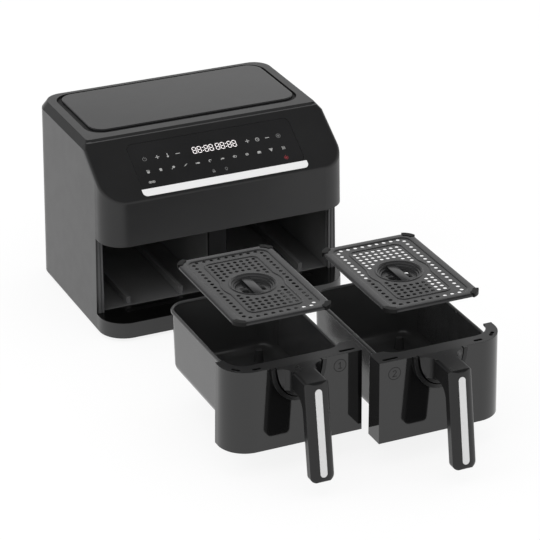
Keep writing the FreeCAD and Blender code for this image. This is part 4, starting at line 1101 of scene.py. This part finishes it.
def rounded_block(name, strip, end_height):
    """Block along a grip's strip, round at its lower end and wide behind for the flange."""
    low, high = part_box(strip)
    foot, normal, rise = facing_plane(strip, (0.0, -1.0, 0.0))
    foot += rise * ((end_height - foot.z) / rise.z - END_SPARE * MM)
    origin = foot + Vector(((low[0] + high[0]) / 2.0, 0.0, 0.0)) - normal * (STRIP_PROUD * MM)
    outline = block_outline()
    turns = [math.pi / 2.0 * i / END_STEPS for i in range(END_STEPS + 1)]
    stations = [(END_ROUND * (1.0 - math.cos(a)), END_ROUND * (1.0 - math.sin(a))) for a in turns]
    work = bmesh.new()
    loops = []
    for along, inset in stations + [(BLOCK_LONG, 0.0)]:
        level = origin + rise * (along * MM)
        share = 1.0 - inset / FRONT_HALF
        loop = []
        for x, deep in outline:
            loop.append(work.verts.new(level - normal * (deep * MM) + Vector((x * share * MM, 0.0, 0.0))))
        loops.append(loop)
    for lower, upper in zip(loops, loops[1:]):
        for index in range(len(outline)):
            after = (index + 1) % len(outline)
            work.faces.new((lower[index], lower[after], upper[after], upper[index]))
    work.faces.new(loops[0])
    work.faces.new(loops[-1])
    bmesh.ops.recalc_face_normals(work, faces=work.faces[:])
    bmesh.ops.triangulate(work, faces=work.faces[:])
    return placed(name, settled(name, work))


for word in SIDES:
    whole = copied("whole_handle", "handle_" + word)
    block = rounded_block("front_block", "handle_strip_" + word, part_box("handle_" + word)[0][2])
    common = whole.modifiers.new("rounded_front", "BOOLEAN")
    common.operation = "INTERSECT"
    common.solver = "EXACT"
    common.object = block
    shaped = baked("rounded_handle_" + word, whole)
    for piece in (whole, block):
        bpy.data.objects.remove(piece)
    handle = placed(shaped.name, shaped)
    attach(handle, "drawer_" + word)
    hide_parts("handle_" + word)
    print(handle.name, len(shaped.polygons), "faces")

# %% [markdown]
# The lid panel. It is a pressed sheet whose edge is rolled down all round, and it stops short
# of the front, so that a dark groove shows there. The loft of the plates serves here too.

# %% Lid panel
LID_CORNER, LID_ROLL, LID_FLAT = 23.0, 1.6, 1.0
LID_TURNS = (0, 22, 45, 68, 90)
LID_FRONT_LEFT, LID_BACK_RIGHT = Vector((3.5, 6.0, 0.0)), Vector((2.0, 3.0, 0.0))

low, high = (Vector(c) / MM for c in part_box("top_panel"))
low += LID_FRONT_LEFT
high += LID_BACK_RIGHT
half, centre = (high - low) / 2.0, (high + low) / 2.0


def lid_ring(inset):
    return rounded_ring(half.x - inset, half.y - inset, LID_CORNER - inset)


rings = [(lid_ring(LID_ROLL + LID_FLAT), high.z)]
rings += [(lid_ring(inset), high.z - drop) for inset, drop in rolled(LID_ROLL, LID_TURNS)]
rings.append((lid_ring(0.0), low.z))
middle = Matrix.Translation(Vector((centre.x, centre.y, 0.0)) * MM)
lid = merged("lid_panel", [(lofted("lid_sheet", rings, closed=True), middle)], finishes["top_satin"])
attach(lid, "housing")
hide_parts("top_panel")
print("lid panel", len(lid.data.polygons), "faces")

# %% [markdown]
# The rolled rim. The edge of a drawn basket is curled outwards into a bead, which catches a
# bright line of light all round; the bead is also coloured lighter than the basket, a painted
# highlight. A bead that follows a path is a curve with a round profile: the script draws the
# path once and the tree sweeps the profile along it.

# %% Rim tree
RIM_RADIUS, RIM_SIDES, RIM_INSET, RIM_DROP, RIM_CORNER = 2.4, 12, 2.5, 1.2, 24.9
# Painted highlight: the rim is coloured lighter than the basket to brighten the line of light along the
# bead.
rim_paint_and_highlight = finish("rim_coating", (0.06, 0.06, 0.061), (0.22, 0.28), 1800.0, 0.06, metal=0.2, edge=0)
tree, start, end, sockets = geometry_tree("rolled_rim", Radius="Float", Sides="Int")
path = add(tree, "GeometryNodeMeshToCurve")
profile = add(tree, "GeometryNodeCurvePrimitiveCircle")
sweep = add(tree, "GeometryNodeCurveToMesh")
wire(
    tree,
    (start.outputs[0], path.inputs[0]),
    (start.outputs["Radius"], profile.inputs["Radius"]),
    (start.outputs["Sides"], profile.inputs["Resolution"]),
    (path.outputs[0], sweep.inputs["Curve"]),
    (profile.outputs[0], sweep.inputs["Profile Curve"]),
)
close_tree(tree, end, sweep.outputs[0], rim_paint_and_highlight, smooth=True)
for word in SIDES:
    low, high = (Vector(c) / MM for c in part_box("basket_" + word))
    half_x, half_y = (high.x - low.x) / 2.0 - RIM_INSET, (high.y - low.y) / 2.0 - RIM_INSET
    middle = Vector(((low.x + high.x) / 2.0, (low.y + high.y) / 2.0))
    ring = [p + middle for p in rounded_ring(half_x, half_y, RIM_CORNER)]
    mesh = bpy.data.meshes.new("rim_path")
    loop = [(i, (i + 1) % len(ring)) for i in range(len(ring))]
    mesh.from_pydata([(p.x * MM, p.y * MM, (high.z - RIM_DROP) * MM) for p in ring], loop, [])
    sizes = {"Radius": RIM_RADIUS * MM, "Sides": RIM_SIDES}
    rim = grown("rolled_rim_" + word, mesh, tree, sockets, rim_paint_and_highlight, **sizes)
    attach(rim, "drawer_" + word)
    print(rim.name, len(rim.data.polygons), "faces")

# %% [markdown]
# Screws. The housing is held by cross-head screws in its base and back. One small head with
# a pressed cross is enough; the tree copies it to points that carry the direction of the
# surface they sit on.

# %% Screw head
SCREW, SCREW_TOP, SCREW_TALL, SCREW_EDGE, SCREW_FOOT = 3.2, 2.3, 1.1, 0.45, -0.4
CROSS_ARM, CROSS_HALF, CROSS_DEEP = 1.7, 0.45, 0.7


def screw_head():
    """Head with a cross recess, standing on the origin and pointing up."""
    arm = ((CROSS_HALF, CROSS_HALF), (CROSS_ARM, CROSS_HALF), (CROSS_ARM, -CROSS_HALF))
    cross = []
    for quarter in range(4):
        turn = Matrix.Rotation(math.radians(90.0 * quarter), 2)
        cross += [turn @ Vector(p) for p in arm][::-1]
    order = sorted(cross, key=lambda p: math.atan2(p.y, p.x))
    circle = [p.normalized() for p in order]
    rings = [(order, SCREW_TALL - CROSS_DEEP), (order, SCREW_TALL)]
    for radius, z in ((SCREW_TOP, SCREW_TALL), (SCREW, SCREW_EDGE), (SCREW, SCREW_FOOT)):
        rings.append(([p * radius for p in circle], z))
    return lofted("screw_head", rings, closed=True)


screw_steel = finish(
    "screw_steel", (0.32, 0.32, 0.33), (0.3, 0.42), 1500.0, 0.08, metal=0.95, edge=0.1
)
head = placed("screw_head", screw_head())
print("screw head", len(head.data.polygons), "faces")

# %% Screw tree
BASE_SCREWS = ((150.0, 230.0), (150.0, 60.0), (60.0, 26.0))
BACK_SCREWS = ((118.0, 60.0), (140.0, 150.0), (118.0, 240.0))
BASE_SPIN, DRAFT = 0.3, 0.016

tree, start, end, sockets = geometry_tree("screws", Size="Float", Head="Object")
source = add(tree, "GeometryNodeObjectInfo")
copies = turned_copies(tree, start.outputs[0], source.outputs["Geometry"])
wire(tree, (start.outputs["Head"], source.inputs[0]), (start.outputs["Size"], copies.inputs["Scale"]))
close_tree(tree, end, copies.outputs[0], screw_steel)

shell_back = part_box("outer_shell")[1][1] / MM
base_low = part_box("base_pan")[0][2] / MM
places, turns = [], []
for x, inset in BASE_SCREWS:
    for sx in (-1, 1):
        places.append(Vector((sx * x, shell_back - inset, base_low)) * MM)
        turns.append((math.pi, 0.0, BASE_SPIN * sx))
for x, z in BACK_SCREWS:
    for sx in (-1, 1):
        places.append(Vector((sx * x, shell_back - DRAFT * (z - base_low), z)) * MM)
        turns.append((-math.pi / 2.0, 0.0, 0.0))
points = point_mesh("screw_points", places, turns)
screws = grown("housing_screws", points, tree, sockets, screw_steel, Size=1.0, Head=head)
bpy.data.objects.remove(head)
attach(screws, "housing")
print("screws", len(places))

# %% [markdown]
# The last step brings the view layer up to date.

# %% Update the view layer
bpy.context.view_layer.update()
